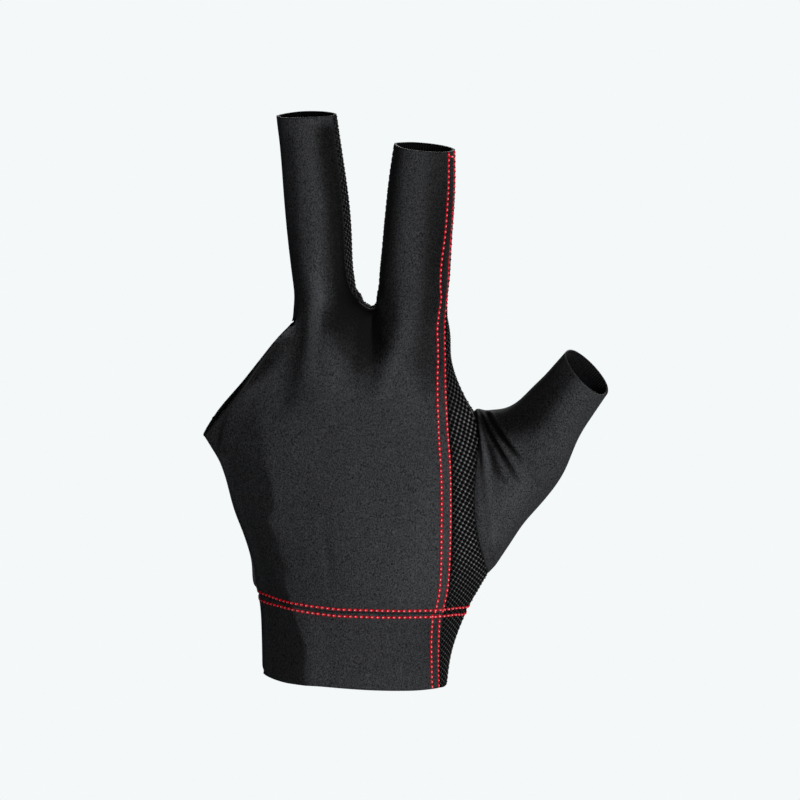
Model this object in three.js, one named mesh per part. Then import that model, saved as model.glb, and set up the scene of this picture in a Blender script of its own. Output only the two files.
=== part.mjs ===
// A three-finger glove for steadying a cue: a stretch-knit back, a mesh palm, a set-in thumb
// sleeve and a cuff band. The middle finger, the index finger and the thumb have open-ended
// tubes, and one slanted opening lets the ring and little fingers out. It has the form of the
// hand that wears it. Millimetres, +Z from the cuff to the fingers, +X to the thumb, and -Y out
// of the back of the glove. The origin is the middle of the wrist opening.
import * as THREE from "three";

// Sizes
const WRIST_WIDTH = 64;
const WRIST_DEPTH = 41;
const CUFF_HEIGHT = 27.2;
const CUFF_TILT = 2.2; // how much higher the cuff's edges are on the little-finger side
const PALM_WIDTH = 92;
const PALM_DEPTH = 31;
const PALM_HEIGHT = 103.4; // from the cuff seam to the crotch between the two fingers
const MIDDLE_LENGTH = 66; // from that crotch to the tube's mouth
const MIDDLE_WIDTH = 20.2;
const MIDDLE_DEPTH = 19.2;
const MIDDLE_LEAN = -5.2; // degrees, towards the thumb
const MIDDLE_SHIFT = -1.9; // from the middle of its lines in the palm, towards the thumb
const INDEX_LENGTH = 55;
const INDEX_WIDTH = 21;
const INDEX_DEPTH = 19.4;
const INDEX_LEAN = 4.2;
const CROTCH_WIDTH = 4.4;
const CROTCH_DEPTH = 8;
const FAR_WEB_RISE = 0.8; // below the middle finger, at the slanted opening
const THUMB_REACH = 36.4; // from the middle of the armhole to the middle of the mouth, sideways
const THUMB_RISE = 42.6;
const THUMB_FORWARD = 10;
const THUMB_WIDTH = 20.4;
const THUMB_DEPTH = 18.8;
const THUMB_MOUTH_SKEW = 0.26; // how far the mouth's cut faces out of the back, as a slope
const INDEX_MOUTH_SLOPE = -0.09;
const KNIT_WALL = 1;
const MESH_WALL = 1.2;
const CUFF_WALL = 1.6;
const HEM_WIDTH = 5; // the turned-in edge at each mouth, where the cloth lies double
const HEM_STEP = 4.5; // below the hem, over which the wall thickens
const HEM_WALL = 1.6;
const BINDING_WIDTH = 1.8;
const BINDING_THICKNESS = 1.7;
const SEAM_GAP = 0.3;

// Outline and depth of the cuff and palm, section by section. cuff and palm are shares of
// CUFF_HEIGHT and PALM_HEIGHT. The half width is a share, left or right, of a width that grows
// from the wrist's to the palm's, and the half depths follow in the same way. Beside the thumb,
// right is the thumb's own root. square is 2 for an ellipse and more for a flatter section.
const SECTIONS = [
  { cuff: 0, palm: 0, grow: 0, left: 1, right: 1, front: 1, back: 1, square: 2 },
  { cuff: 0.35, palm: 0, grow: 0, left: 1, right: 1.04, front: 0.99, back: 1, square: 2 },
  { cuff: 0.66, palm: 0, grow: 0, left: 1.01, right: 1.105, front: 0.97, back: 0.99, square: 2 },
  { cuff: 1, palm: 0, grow: 0, left: 1.03, right: 1.22, front: 0.95, back: 0.98, square: 2.1 },
  { cuff: 1, palm: 0.05, grow: 0.1, left: 1.03, right: 1.25, front: 0.94, back: 1, square: 2.2 },
  { cuff: 1, palm: 0.11, grow: 0.25, left: 0.985, right: 1.29, front: 0.93, back: 1.05, square: 2.3 },
  { cuff: 1, palm: 0.2, grow: 0.5, left: 0.96, right: 1.355, front: 0.95, back: 1.12, square: 2.4 },
  { cuff: 1, palm: 0.31, grow: 0.75, left: 0.975, right: 1.385, front: 0.97, back: 1.17, square: 2.5 },
  { cuff: 1, palm: 0.38, grow: 0.9, left: 0.97, right: 1.39, front: 0.98, back: 1.17, square: 2.5 },
  { cuff: 1, palm: 0.45, grow: 1, left: 0.99, right: 1.33, front: 0.98, back: 1.16, square: 2.5 },
  { cuff: 1, palm: 0.51, grow: 1, left: 1.05, right: 1.24, front: 0.96, back: 1.12, square: 2.5 },
  { cuff: 1, palm: 0.57, grow: 1, left: 1.13, right: 1.13, front: 0.93, back: 1.06, square: 2.5 },
  { cuff: 1, palm: 0.65, grow: 1, left: 1.14, right: 0.87, front: 0.9, back: 1, square: 2.5 },
  { cuff: 1, palm: 0.71, grow: 1, left: 1.12, right: 0.805, front: 0.87, back: 0.95, square: 2.5 },
  { cuff: 1, palm: 0.78, grow: 1, left: 1.09, right: 0.747, front: 0.83, back: 0.9, square: 2.5 },
  { cuff: 1, palm: 0.85, grow: 1, left: 1.06, right: 0.715, front: 0.78, back: 0.84, square: 2.4 },
  { cuff: 1, palm: 0.92, grow: 1, left: 1.03, right: 0.71, front: 0.73, back: 0.77, square: 2.3 },
  { cuff: 1, palm: 1, grow: 1, left: 1, right: 0.695, front: 0.68, back: 0.7, square: 2.2 },
];

// Lines up the glove, in the order round it: from the thumb side over the back of the glove to
// the little-finger side, and home over the palm. wrist, middle and top are shares of the glove's
// half width there: out to the side seam, or to the edge on the line's own side. height is where
// the line ends, as a share of PALM_HEIGHT above the cuff seam. press is the share of the depth
// that is left at the top, in the valleys beside the fingers and at the slanted opening, and fade
// is where that begins. is names the lines at the seams, the webs and the slanted opening.
const LINE_COLUMNS = ["side", "of", "wrist", "middle", "top", "height", "press", "fade", "is"];
const LINES = [
  ["edge", "right", 1, 1, 1, 0.925, 1, 0.8, "thumb edge"],
  ["front", "right", 0.98, 0.98, 0.985, 0.925, 1, 0.8, "thumb seam front"],
  ["front", "seam", 1, 1, 1, 0.925, 1, 0.8, "side seam"],
  ["front", "seam", 0.78, 0.79, 0.87, 0.93, 1, 0.8],
  ["front", "seam", 0.58, 0.6, 0.67, 0.935, 1, 0.8],
  ["front", "seam", 0.43, 0.425, 0.45, 0.948, 0.96, 0.75],
  ["front", "seam", 0.28, 0.25, 0.238, 0.968, 0.6, 0.62, "index web front"],
  ["front", "seam", 0.13, 0.118, 0.12, 0.968, 0.6, 0.62, "middle web front"],
  ["front", "left", 0.125, 0.11, 0.098, 0.95, 0.97, 0.75],
  ["front", "left", 0.375, 0.3, 0.273, 0.94, 0.9, 0.7],
  ["front", "left", 0.62, 0.5, 0.447, 0.95, 0.52, 0.55, "middle far front"],
  ["front", "left", 0.86, 0.76, 0.637, 0.845, 0.46, 0.4],
  ["front", "left", 0.975, 0.94, 0.813, 0.7, 0.42, 0.4],
  ["edge", "left", 1, 1, 1, 0.568, 1, 0.8, "far edge"],
  ["back", "left", 0.975, 0.94, 0.93, 0.626, 0.5, 0.4, "far seam"],
  ["back", "left", 0.86, 0.79, 0.73, 0.775, 0.46, 0.4],
  ["back", "left", 0.62, 0.5, 0.447, 0.945, 0.52, 0.55, "middle far back"],
  ["back", "left", 0.375, 0.3, 0.273, 0.94, 0.9, 0.7],
  ["back", "left", 0.125, 0.11, 0.098, 0.95, 0.97, 0.75],
  ["back", "seam", 0.13, 0.118, 0.12, 0.968, 0.6, 0.7, "middle web back"],
  ["back", "seam", 0.28, 0.25, 0.238, 0.968, 0.6, 0.7, "index web back"],
  ["back", "seam", 0.62, 0.57, 0.535, 0.94, 1, 0.8],
  ["back", "seam", 0.9, 0.9, 0.78, 0.93, 1, 0.8],
  ["back", "right", 0.97, 0.97, 0.95, 0.925, 1, 0.8, "thumb seam back"],
].map((row) => Object.fromEntries(row.map((value, i) => [LINE_COLUMNS[i], value])));
const lineNamed = (name) => LINES.findIndex((line) => line.is === name);
// Where lines meet the seams, the webs between the tubes and the slanted opening.
const THUMB_EDGE = lineNamed("thumb edge");
const THUMB_SEAM_FRONT = lineNamed("thumb seam front");
const SIDE_SEAM = lineNamed("side seam"); // where the knit back ends and the mesh begins
const INDEX_WEB_FRONT = lineNamed("index web front");
const MIDDLE_WEB_FRONT = lineNamed("middle web front");
const MIDDLE_FAR_FRONT = lineNamed("middle far front");
const FAR_EDGE = lineNamed("far edge");
const FAR_SEAM = lineNamed("far seam");
const MIDDLE_FAR_BACK = lineNamed("middle far back");
const MIDDLE_WEB_BACK = lineNamed("middle web back");
const INDEX_WEB_BACK = lineNamed("index web back");
const THUMB_SEAM_BACK = lineNamed("thumb seam back");

// Rows up the glove. The thumb's armhole takes some of the palm's.
const CUFF_ROWS = [0, 0.5];
const ARMHOLE_ROWS = [0.118, 0.215, 0.313, 0.411, 0.51, 0.607, 0.707];
const PALM_ROWS = [0, 0.058, ...ARMHOLE_ROWS, 0.8, 0.9, 1];
const ARMHOLE_LOW = PALM_ROWS.indexOf(ARMHOLE_ROWS[0]);
const ARMHOLE_HIGH = ARMHOLE_LOW + ARMHOLE_ROWS.length - 1;

// The side seam on the back of the glove: x as a share of half the wrist's or the palm's width.
const SIDE_SEAM_LINE = [
  { cuff: 0, palm: 0, wrist: 0.922, wide: 0 },
  { cuff: 0.5, palm: 0, wrist: 0.922, wide: 0 },
  { cuff: 1, palm: 0, wrist: 0.965, wide: 0 },
  { cuff: 1, palm: 0.044, wrist: 0.997, wide: 0 },
  { cuff: 1, palm: 0.112, wrist: 0, wide: 0.715 },
  { cuff: 1, palm: 0.25, wrist: 0, wide: 0.731 },
  { cuff: 1, palm: 0.45, wrist: 0, wide: 0.727 },
  { cuff: 1, palm: 0.58, wrist: 0, wide: 0.709 },
  { cuff: 1, palm: 0.72, wrist: 0, wide: 0.694 },
  { cuff: 1, palm: 0.85, wrist: 0, wide: 0.685 },
  { cuff: 1, palm: 0.98, wrist: 0, wide: 0.68 },
];

// The share of PALM_HEIGHT over which the cuff's tilt fades out.
const TILT_FADE = 0.25;

// The webs below the tubes: how far each runs to the back and to the palm of the glove from the
// hand's middle plane, as shares of CROTCH_DEPTH.
const WEBS = {
  index: { front: 0.2, back: 0.5 },
  middle: { front: 0.35, back: 0.5 },
  far: { front: 0.3, back: 0.3 },
};

// The armhole's seam from its low end to its high end: x as a share of half PALM_WIDTH, and
// height as a share of PALM_HEIGHT. The first and last rows are on the thumb-side edge.
const ARMHOLE = [
  { x: 1, height: 0.106 },
  { x: 0.987, height: 0.144 },
  { x: 0.941, height: 0.208 },
  { x: 0.907, height: 0.292 },
  { x: 0.896, height: 0.373 },
  { x: 0.907, height: 0.454 },
  { x: 0.93, height: 0.535 },
  { x: 0.922, height: 0.603 },
  { x: 0.87, height: 0.653 },
];

// Tubes, section by section from the crotch up. left, right and deep are shares of half the
// tube's width and depth, to either side of its leaning axis. seam and web are the angles of the
// knit's two edges, in degrees from the thumb side over the back of the glove.
const MIDDLE_SECTIONS = [
  { up: 0.045, left: 1, right: 1.3, deep: 1.08, seam: 26, web: 200 },
  { up: 0.11, left: 1.01, right: 1.15, deep: 1.04, seam: 34, web: 200 },
  { up: 0.25, left: 1.03, right: 1.14, deep: 1.02, seam: 38, web: 200 },
  { up: 0.45, left: 1.08, right: 1.2, deep: 1.02, seam: 36, web: 200 },
  { up: 0.65, left: 1.05, right: 1.17, deep: 1.01, seam: 33, web: 200 },
  { up: 0.82, left: 1.02, right: 1.1, deep: 1, seam: 29, web: 200 },
  { up: 1, left: 1.02, right: 1.03, deep: 1, seam: 24, web: 200 },
];
const INDEX_SECTIONS = [
  { up: 0.05, left: 1.23, right: 1.13, deep: 1.08, seam: 0, web: 176 },
  { up: 0.14, left: 1.19, right: 1.15, deep: 1.05, seam: 0, web: 182 },
  { up: 0.3, left: 1.155, right: 1.14, deep: 1.03, seam: 0, web: 187 },
  { up: 0.5, left: 1.145, right: 1.12, deep: 1.02, seam: 0, web: 188 },
  { up: 0.68, left: 1.11, right: 1.12, deep: 1.01, seam: 0, web: 188 },
  { up: 0.84, left: 1.07, right: 1.07, deep: 1, seam: 0, web: 188 },
  { up: 1, left: 1, right: 1, deep: 1, seam: 0, web: 188 },
];
const MIDDLE_ROWS = [0.045, 0.16, 0.38, 0.64];
const INDEX_ROWS = [0.05, 0.18, 0.4, 0.64];

// The angles of a tube's lines, measured in the same way, or the column that gives them.
const INDEX_ANGLES = [-33, -16, "seam", 36, 72, 108, 142, "web", 214, 240, 262, 284, 306];
const MIDDLE_ANGLES = [60, 88, 114, 142, 170, "web", 230, 258, 286, 314, 350, "seam"];

// The thumb sleeve from its armhole to its mouth. out and up are shares of THUMB_REACH and
// THUMB_RISE, grow goes from the mouth's width to the armhole's, front and back are shares of
// half THUMB_DEPTH, forward is a share of THUMB_FORWARD, and turn is the section's angle.
const THUMB_SECTIONS = [
  { along: 0, out: 0, up: 0, grow: 1, front: 1.54, back: 1.9, forward: 0, turn: 97 },
  { along: 0.12, out: 0.131, up: 0.07, grow: 0.815, front: 1.6, back: 1.8, forward: 0.02, turn: 97 },
  { along: 0.27, out: 0.298, up: 0.204, grow: 0.545, front: 1.55, back: 1.65, forward: 0.08, turn: 102 },
  { along: 0.42, out: 0.468, up: 0.326, grow: 0.386, front: 1.47, back: 1.5, forward: 0.2, turn: 107 },
  { along: 0.56, out: 0.62, up: 0.482, grow: 0.307, front: 1.38, back: 1.36, forward: 0.38, turn: 111 },
  { along: 0.7, out: 0.734, up: 0.656, grow: 0.164, front: 1.22, back: 1.2, forward: 0.6, turn: 115 },
  { along: 0.84, out: 0.854, up: 0.82, grow: 0.068, front: 1.09, back: 1.09, forward: 0.8, turn: 122 },
  { along: 1, out: 1, up: 1, grow: 0, front: 1, back: 1, forward: 1, turn: 135 },
];
const THUMB_ROWS = [0.06, 0.12, 0.19, 0.27, 0.36, 0.47, 0.6, 0.74];

// Folds pressed into the back of the glove where the thumb sleeve gathers at the crotch beside
// the index finger. Ends are shares of half PALM_WIDTH and of PALM_HEIGHT, width and depth mm.
const FOLDS = [
  { x0: 0.93, up0: 0.622, x1: 1.15, up1: 0.38, width: 1.5, depth: 0.8 },
  { x0: 0.97, up0: 0.628, x1: 1.19, up1: 0.44, width: 1.5, depth: 0.9 },
  { x0: 1.04, up0: 0.628, x1: 1.235, up1: 0.48, width: 1.5, depth: 0.7 },
];

const MATERIALS = {
  knit: { color: 0x2a2b2d, roughness: 0.62, metalness: 0 },
  mesh: { color: 0x151618, roughness: 0.8, metalness: 0 },
  binding: { color: 0x0c0c0d, roughness: 0.85, metalness: 0 },
};

const radians = THREE.MathUtils.degToRad;
const lerp = THREE.MathUtils.lerp;
const smoothstep = THREE.MathUtils.smoothstep;

// Reads a table at key = t: a smooth curve through the rows, for every column.
function readTable(table, key, t) {
  const keys = table.map((row) => (typeof key === "function" ? key(row) : row[key]));
  const last = keys.length - 1;
  const clamped = THREE.MathUtils.clamp(t, keys[0], keys[last]);
  let i = 0;
  while (i < last - 1 && clamped > keys[i + 1]) i += 1;
  const span = keys[i + 1] - keys[i];
  const s = (clamped - keys[i]) / span;
  const row = {};
  for (const name of Object.keys(table[0])) {
    const slope = (j) => {
      const a = Math.max(j - 1, 0);
      const b = Math.min(j + 1, last);
      return (table[b][name] - table[a][name]) / (keys[b] - keys[a]);
    };
    const p = table[i][name];
    const q = table[i + 1][name];
    const m = slope(i) * span;
    const n = slope(i + 1) * span;
    const s2 = s * s;
    const s3 = s2 * s;
    row[name] = (2 * s3 - 3 * s2 + 1) * p + (s3 - 2 * s2 + s) * m + (3 * s2 - 2 * s3) * q + (s3 - s2) * n;
  }
  return row;
}

const heightOf = (row) => row.cuff * CUFF_HEIGHT + row.palm * PALM_HEIGHT;

// The hand's section at height z: its two edges and its two depths.
function sectionAt(z) {
  const row = readTable(SECTIONS, heightOf, z);
  const halfWidth = lerp(WRIST_WIDTH, PALM_WIDTH, row.grow) / 2;
  const halfDepth = lerp(WRIST_DEPTH, PALM_DEPTH, row.grow) / 2;
  return {
    left: -row.left * halfWidth,
    right: row.right * halfWidth,
    front: row.front * halfDepth,
    back: row.back * halfDepth,
    square: row.square,
  };
}

// How far the glove stands off the hand's middle plane at x and z, on one side.
function depthAt(side, x, z) {
  if (side === "edge") return 0;
  const section = sectionAt(z);
  const centre = (section.left + section.right) / 2;
  const half = (section.right - section.left) / 2;
  const u = Math.min(Math.abs(x - centre) / half, 1);
  const round = Math.sqrt(1 - u ** section.square);
  return side === "front" ? -section.front * round : section.back * round;
}

function sideSeamX(z) {
  const row = readTable(SIDE_SEAM_LINE, heightOf, z);
  return (row.wrist * WRIST_WIDTH + row.wide * PALM_WIDTH) / 2;
}

// A line's x at height z, share s of its way from the cuff seam to its end.
function lineX(index, s, z) {
  const line = LINES[index];
  const section = sectionAt(z);
  const halfWidth = { left: section.left, right: section.right, seam: sideSeamX(z) }[line.of];
  const t = Math.max(s, 0);
  const low = line.wrist * 2 * (t - 0.5) * (t - 1);
  const middle = line.middle * 4 * t * (1 - t);
  const high = line.top * 2 * t * (t - 0.5);
  return (low + middle + high) * halfWidth;
}

// Target points and faces of the whole glove, as one surface of quads. Each point lies on the
// finished surface. hem is 1 where the wall is doubled.
const points = [];
const faces = [];

function addPoint(x, y, z, hem = 0) {
  points.push({ place: new THREE.Vector3(x, y, z), hem });
  return points.length - 1;
}

function addFace(panel, ...corners) {
  faces.push({ panel, corners });
}

// Quads between two closed rings of points. panelOf names the panel of each gap between lines.
function joinRings(low, high, panelOf) {
  low.forEach((_, i) => {
    const j = (i + 1) % low.length;
    addFace(panelOf(i), low[i], high[i], high[j], low[j]);
  });
}

const isKnit = (i) => i >= SIDE_SEAM && i < FAR_SEAM;
const armholePoint = (row) => ({
  x: (row.x * PALM_WIDTH) / 2,
  z: CUFF_HEIGHT + row.height * PALM_HEIGHT,
});

function palmPoint(index, s) {
  const line = LINES[index];
  const top = CUFF_HEIGHT + line.height * PALM_HEIGHT;
  let z = lerp(CUFF_HEIGHT, top, s);
  let x = lineX(index, s, z);
  const row = PALM_ROWS.indexOf(s);
  if (row >= ARMHOLE_LOW && row <= ARMHOLE_HIGH) {
    const edge = row === ARMHOLE_LOW ? ARMHOLE[0] : ARMHOLE[ARMHOLE.length - 1];
    const seam = ARMHOLE[row - ARMHOLE_LOW + 1];
    if (index === THUMB_EDGE) ({ x, z } = armholePoint(edge));
    if (index === THUMB_SEAM_FRONT || index === THUMB_SEAM_BACK) ({ x, z } = armholePoint(seam));
  }
  const press = lerp(1, line.press, smoothstep(s, line.fade, 1));
  const tilt = CUFF_TILT * (1 - smoothstep(s, 0, TILT_FADE)) * (x / (WRIST_WIDTH / 2));
  return addPoint(x, depthAt(line.side, x, z) * press, z - tilt);
}

function cuffPoint(index, s) {
  const z = s * CUFF_HEIGHT;
  const x = lineX(index, 0, z);
  return addPoint(x, depthAt(LINES[index].side, x, z), z - (CUFF_TILT * x) / (WRIST_WIDTH / 2));
}

function buildCuffAndPalm() {
  const indices = LINES.map((_, i) => i);
  const cuff = CUFF_ROWS.map((s) => indices.map((i) => cuffPoint(i, s)));
  const palm = PALM_ROWS.map((s, k) =>
    indices.map((i) => {
      const inArmhole = i === THUMB_EDGE && k > ARMHOLE_LOW && k < ARMHOLE_HIGH;
      return inArmhole ? null : palmPoint(i, s);
    }),
  );
  const rings = [...cuff, palm[0]];
  for (let k = 0; k + 1 < rings.length; k += 1) {
    joinRings(rings[k], rings[k + 1], (i) => (isKnit(i) ? "cuff_band_back" : "cuff_band_palm"));
  }
  for (let k = 0; k + 1 < palm.length; k += 1) {
    indices.forEach((i) => {
      const j = (i + 1) % LINES.length;
      const beside = i === THUMB_EDGE || j === THUMB_EDGE;
      if (beside && k >= ARMHOLE_LOW && k < ARMHOLE_HIGH) return;
      const panel = isKnit(i) ? "back_panel" : "palm_panel";
      addFace(panel, palm[k][i], palm[k + 1][i], palm[k + 1][j], palm[k][j]);
    });
  }
  return palm;
}

// The two points that carry a side of a tube from the back of the glove to its palm.
function sideBridge(x, z, web) {
  return [addPoint(x, -web.front * CROTCH_DEPTH, z), addPoint(x, web.back * CROTCH_DEPTH, z)];
}

// A finger tube on its base ring. Rows end at the mouth, with the hem's two rows below it.
function buildTube(base, finger, panelOf) {
  const { sections, rows, angles, length, width, depth, lean, centre, slope } = finger;
  const low = CUFF_HEIGHT + PALM_HEIGHT;
  const hemRows = [1 - (HEM_WIDTH + HEM_STEP) / length, 1 - HEM_WIDTH / length, 1];
  let ring = base;
  for (const up of [...rows, ...hemRows]) {
    const section = readTable(sections, "up", up);
    const axisX = centre + Math.tan(radians(lean)) * up * length;
    const next = angles.map((angle) => {
      const turned = radians(section[angle] ?? angle);
      const across = Math.cos(turned);
      const reach = (across > 0 ? section.right : section.left) * (width / 2);
      const x = axisX + reach * across;
      const y = -Math.sin(turned) * section.deep * (depth / 2);
      const mouthSlope = slope * (x - axisX) * smoothstep(up, 0.5, 1);
      return addPoint(x, y, low + up * length + mouthSlope, up > hemRows[0] ? 1 : 0);
    });
    joinRings(ring, next, panelOf);
    ring = next;
  }
}

function buildFingers(palm) {
  const top = palm[palm.length - 1];
  const crotchX = (points[top[INDEX_WEB_FRONT]].place.x + points[top[MIDDLE_WEB_FRONT]].place.x) / 2;
  const crotchZ = CUFF_HEIGHT + PALM_HEIGHT;
  const indexSide = sideBridge(crotchX + CROTCH_WIDTH / 2, crotchZ, WEBS.index);
  const middleSide = sideBridge(crotchX - CROTCH_WIDTH / 2, crotchZ, WEBS.middle);
  const farTop = points[top[MIDDLE_FAR_FRONT]].place;
  const farSide = sideBridge(farTop.x, farTop.z + FAR_WEB_RISE, WEBS.far);

  // The web between the fingers: the knit runs over it as far as its first line.
  addFace("back_panel", top[MIDDLE_WEB_FRONT], top[INDEX_WEB_FRONT], indexSide[0], middleSide[0]);
  addFace("palm_panel", middleSide[0], indexSide[0], indexSide[1], middleSide[1]);
  addFace("palm_panel", middleSide[1], indexSide[1], top[INDEX_WEB_BACK], top[MIDDLE_WEB_BACK]);

  const indexRing = [
    ...top.slice(THUMB_EDGE, INDEX_WEB_FRONT + 1),
    ...indexSide,
    ...top.slice(INDEX_WEB_BACK),
  ];
  const indexCentre = (points[top[THUMB_EDGE]].place.x + points[top[INDEX_WEB_FRONT]].place.x) / 2;
  buildTube(
    indexRing,
    {
      sections: INDEX_SECTIONS,
      rows: INDEX_ROWS,
      angles: INDEX_ANGLES,
      length: INDEX_LENGTH,
      width: INDEX_WIDTH,
      depth: INDEX_DEPTH,
      lean: INDEX_LEAN,
      centre: indexCentre,
      slope: INDEX_MOUTH_SLOPE,
    },
    (i) => (i >= SIDE_SEAM && i <= INDEX_WEB_FRONT ? "back_panel" : "palm_panel"),
  );

  const middleRing = [
    ...top.slice(MIDDLE_WEB_FRONT, MIDDLE_FAR_FRONT + 1),
    ...farSide,
    ...top.slice(MIDDLE_FAR_BACK, MIDDLE_WEB_BACK + 1),
    middleSide[1],
    middleSide[0],
  ];
  const middleTopX = points[top[MIDDLE_WEB_FRONT]].place.x + points[top[MIDDLE_FAR_FRONT]].place.x;
  const knitEnd = MIDDLE_FAR_FRONT - MIDDLE_WEB_FRONT + 2;
  buildTube(
    middleRing,
    {
      sections: MIDDLE_SECTIONS,
      rows: MIDDLE_ROWS,
      angles: MIDDLE_ANGLES,
      length: MIDDLE_LENGTH,
      width: MIDDLE_WIDTH,
      depth: MIDDLE_DEPTH,
      lean: MIDDLE_LEAN,
      centre: middleTopX / 2 + MIDDLE_SHIFT,
      slope: 0,
    },
    (i) => (i < knitEnd || i === middleRing.length - 1 ? "back_panel" : "palm_panel"),
  );
}

function buildThumb(palm) {
  const front = [];
  const back = [];
  for (let k = ARMHOLE_HIGH; k >= ARMHOLE_LOW; k -= 1) {
    front.push(palm[k][THUMB_SEAM_FRONT]);
    back.unshift(palm[k][THUMB_SEAM_BACK]);
  }
  const highEdge = palm[ARMHOLE_HIGH][THUMB_EDGE];
  const lowEdge = palm[ARMHOLE_LOW][THUMB_EDGE];
  let ring = [highEdge, ...front, lowEdge, ...back];
  const high = points[highEdge].place;
  const low = points[lowEdge].place;
  const armhole = high.distanceTo(low);
  const root = high.clone().add(low).multiplyScalar(0.5);
  const length = Math.hypot(THUMB_REACH, THUMB_RISE);
  const hemRows = [1 - (HEM_WIDTH + HEM_STEP) / length, 1 - HEM_WIDTH / length, 1];
  for (const along of [...THUMB_ROWS, ...hemRows]) {
    const row = readTable(THUMB_SECTIONS, "along", along);
    const half = lerp(THUMB_WIDTH, armhole, row.grow) / 2;
    const turn = radians(row.turn);
    const skew = THUMB_MOUTH_SKEW * smoothstep(along, 0.6, 1);
    const next = ring.map((_, i) => {
      const angle = (i / ring.length) * Math.PI * 2;
      const across = Math.cos(angle) * half;
      const deep = (angle < Math.PI ? row.front : row.back) * (THUMB_DEPTH / 2);
      const y = -Math.sin(angle) * deep;
      const x = root.x + row.out * THUMB_REACH + Math.cos(turn) * across + Math.sin(turn) * skew * y;
      const z = root.z + row.up * THUMB_RISE + Math.sin(turn) * across - Math.cos(turn) * skew * y;
      return addPoint(x, y - row.forward * THUMB_FORWARD, z, along > hemRows[0] ? 1 : 0);
    });
    joinRings(next, ring, () => "thumb_sleeve");
    ring = next;
  }
}

// Neighbours of every point: the corners beside it, the corners across each face, and, on an
// open edge, the two points before and after it.
function neighbours(count, quads) {
  const around = Array.from({ length: count }, () => ({ beside: new Set(), across: [], rim: [] }));
  const uses = new Map();
  const keyOf = (a, b) => (a < b ? `${a},${b}` : `${b},${a}`);
  for (const { corners } of quads) {
    corners.forEach((a, i) => {
      const b = corners[(i + 1) % 4];
      around[a].beside.add(b);
      around[b].beside.add(a);
      around[a].across.push(corners[(i + 2) % 4]);
      uses.set(keyOf(a, b), (uses.get(keyOf(a, b)) ?? 0) + 1);
    });
  }
  for (const [key, times] of uses) {
    if (times !== 1) continue;
    const [a, b] = key.split(",").map(Number);
    around[a].rim.push(b);
    around[b].rim.push(a);
  }
  return { around, uses, keyOf };
}

// Where Catmull-Clark subdivision carries each point in the end.
function limitPlaces(places, around) {
  return places.map((place, i) => {
    const { beside, across, rim } = around[i];
    const sum = new THREE.Vector3();
    if (rim.length) {
      rim.forEach((j) => sum.add(places[j]));
      return sum.addScaledVector(place, 4).divideScalar(6);
    }
    const n = beside.size;
    sum.addScaledVector(place, n * n);
    beside.forEach((j) => sum.addScaledVector(places[j], 4));
    across.forEach((j) => sum.add(places[j]));
    return sum.divideScalar(n * (n + 5));
  });
}

// Moves the cage until its subdivided surface passes through the target points.
function fitCage(targets, around, rounds) {
  let cage = targets.map((p) => p.clone());
  for (let round = 0; round < rounds; round += 1) {
    const reached = limitPlaces(cage, around);
    cage = cage.map((p, i) => p.clone().add(targets[i]).sub(reached[i]));
  }
  return cage;
}

// One step of Catmull-Clark subdivision, with open edges kept as smooth curves.
function subdivide(places, hems, quads) {
  const { around, uses, keyOf } = neighbours(places.length, quads);
  const centres = quads.map(({ corners }) =>
    corners.reduce((sum, i) => sum.add(places[i]), new THREE.Vector3()).divideScalar(4),
  );
  const touching = places.map(() => []);
  const edgeCentres = new Map();
  quads.forEach(({ corners }, f) => {
    corners.forEach((a, i) => {
      touching[a].push(centres[f]);
      const key = keyOf(a, corners[(i + 1) % 4]);
      if (!edgeCentres.has(key)) edgeCentres.set(key, []);
      edgeCentres.get(key).push(centres[f]);
    });
  });
  const outPlaces = places.map((place, i) => {
    const { beside, rim } = around[i];
    const sum = new THREE.Vector3();
    if (rim.length) {
      rim.forEach((j) => sum.add(places[j]));
      return sum.addScaledVector(place, 6).divideScalar(8);
    }
    const n = beside.size;
    touching[i].forEach((centre) => sum.addScaledVector(centre, 1 / n));
    beside.forEach((j) => sum.addScaledVector(places[j], 1 / n).addScaledVector(place, 1 / n));
    return sum.addScaledVector(place, n - 3).divideScalar(n);
  });
  const outHems = [...hems];
  const edgePoints = new Map();
  for (const [key] of uses) {
    const [a, b] = key.split(",").map(Number);
    const middle = places[a].clone().add(places[b]);
    const beside = edgeCentres.get(key);
    if (beside.length === 2) middle.add(beside[0]).add(beside[1]).divideScalar(4);
    else middle.divideScalar(2);
    edgePoints.set(key, outPlaces.push(middle) - 1);
    outHems.push((hems[a] + hems[b]) / 2);
  }
  const outQuads = [];
  quads.forEach(({ panel, corners }, f) => {
    const centre = outPlaces.push(centres[f]) - 1;
    outHems.push(corners.reduce((sum, i) => sum + hems[i], 0) / 4);
    corners.forEach((a, i) => {
      const after = edgePoints.get(keyOf(a, corners[(i + 1) % 4]));
      const before = edgePoints.get(keyOf(a, corners[(i + 3) % 4]));
      outQuads.push({ panel, corners: [a, after, centre, before] });
    });
  });
  return { places: outPlaces, hems: outHems, quads: outQuads };
}

function surfaceNormals(places, quads) {
  const normals = places.map(() => new THREE.Vector3());
  const ac = new THREE.Vector3();
  const bd = new THREE.Vector3();
  for (const { corners } of quads) {
    const [a, b, c, d] = corners.map((i) => places[i]);
    ac.subVectors(c, a);
    bd.subVectors(d, b);
    const normal = new THREE.Vector3().crossVectors(ac, bd);
    corners.forEach((i) => normals[i].add(normal));
  }
  return normals.map((n) => n.normalize());
}

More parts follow.
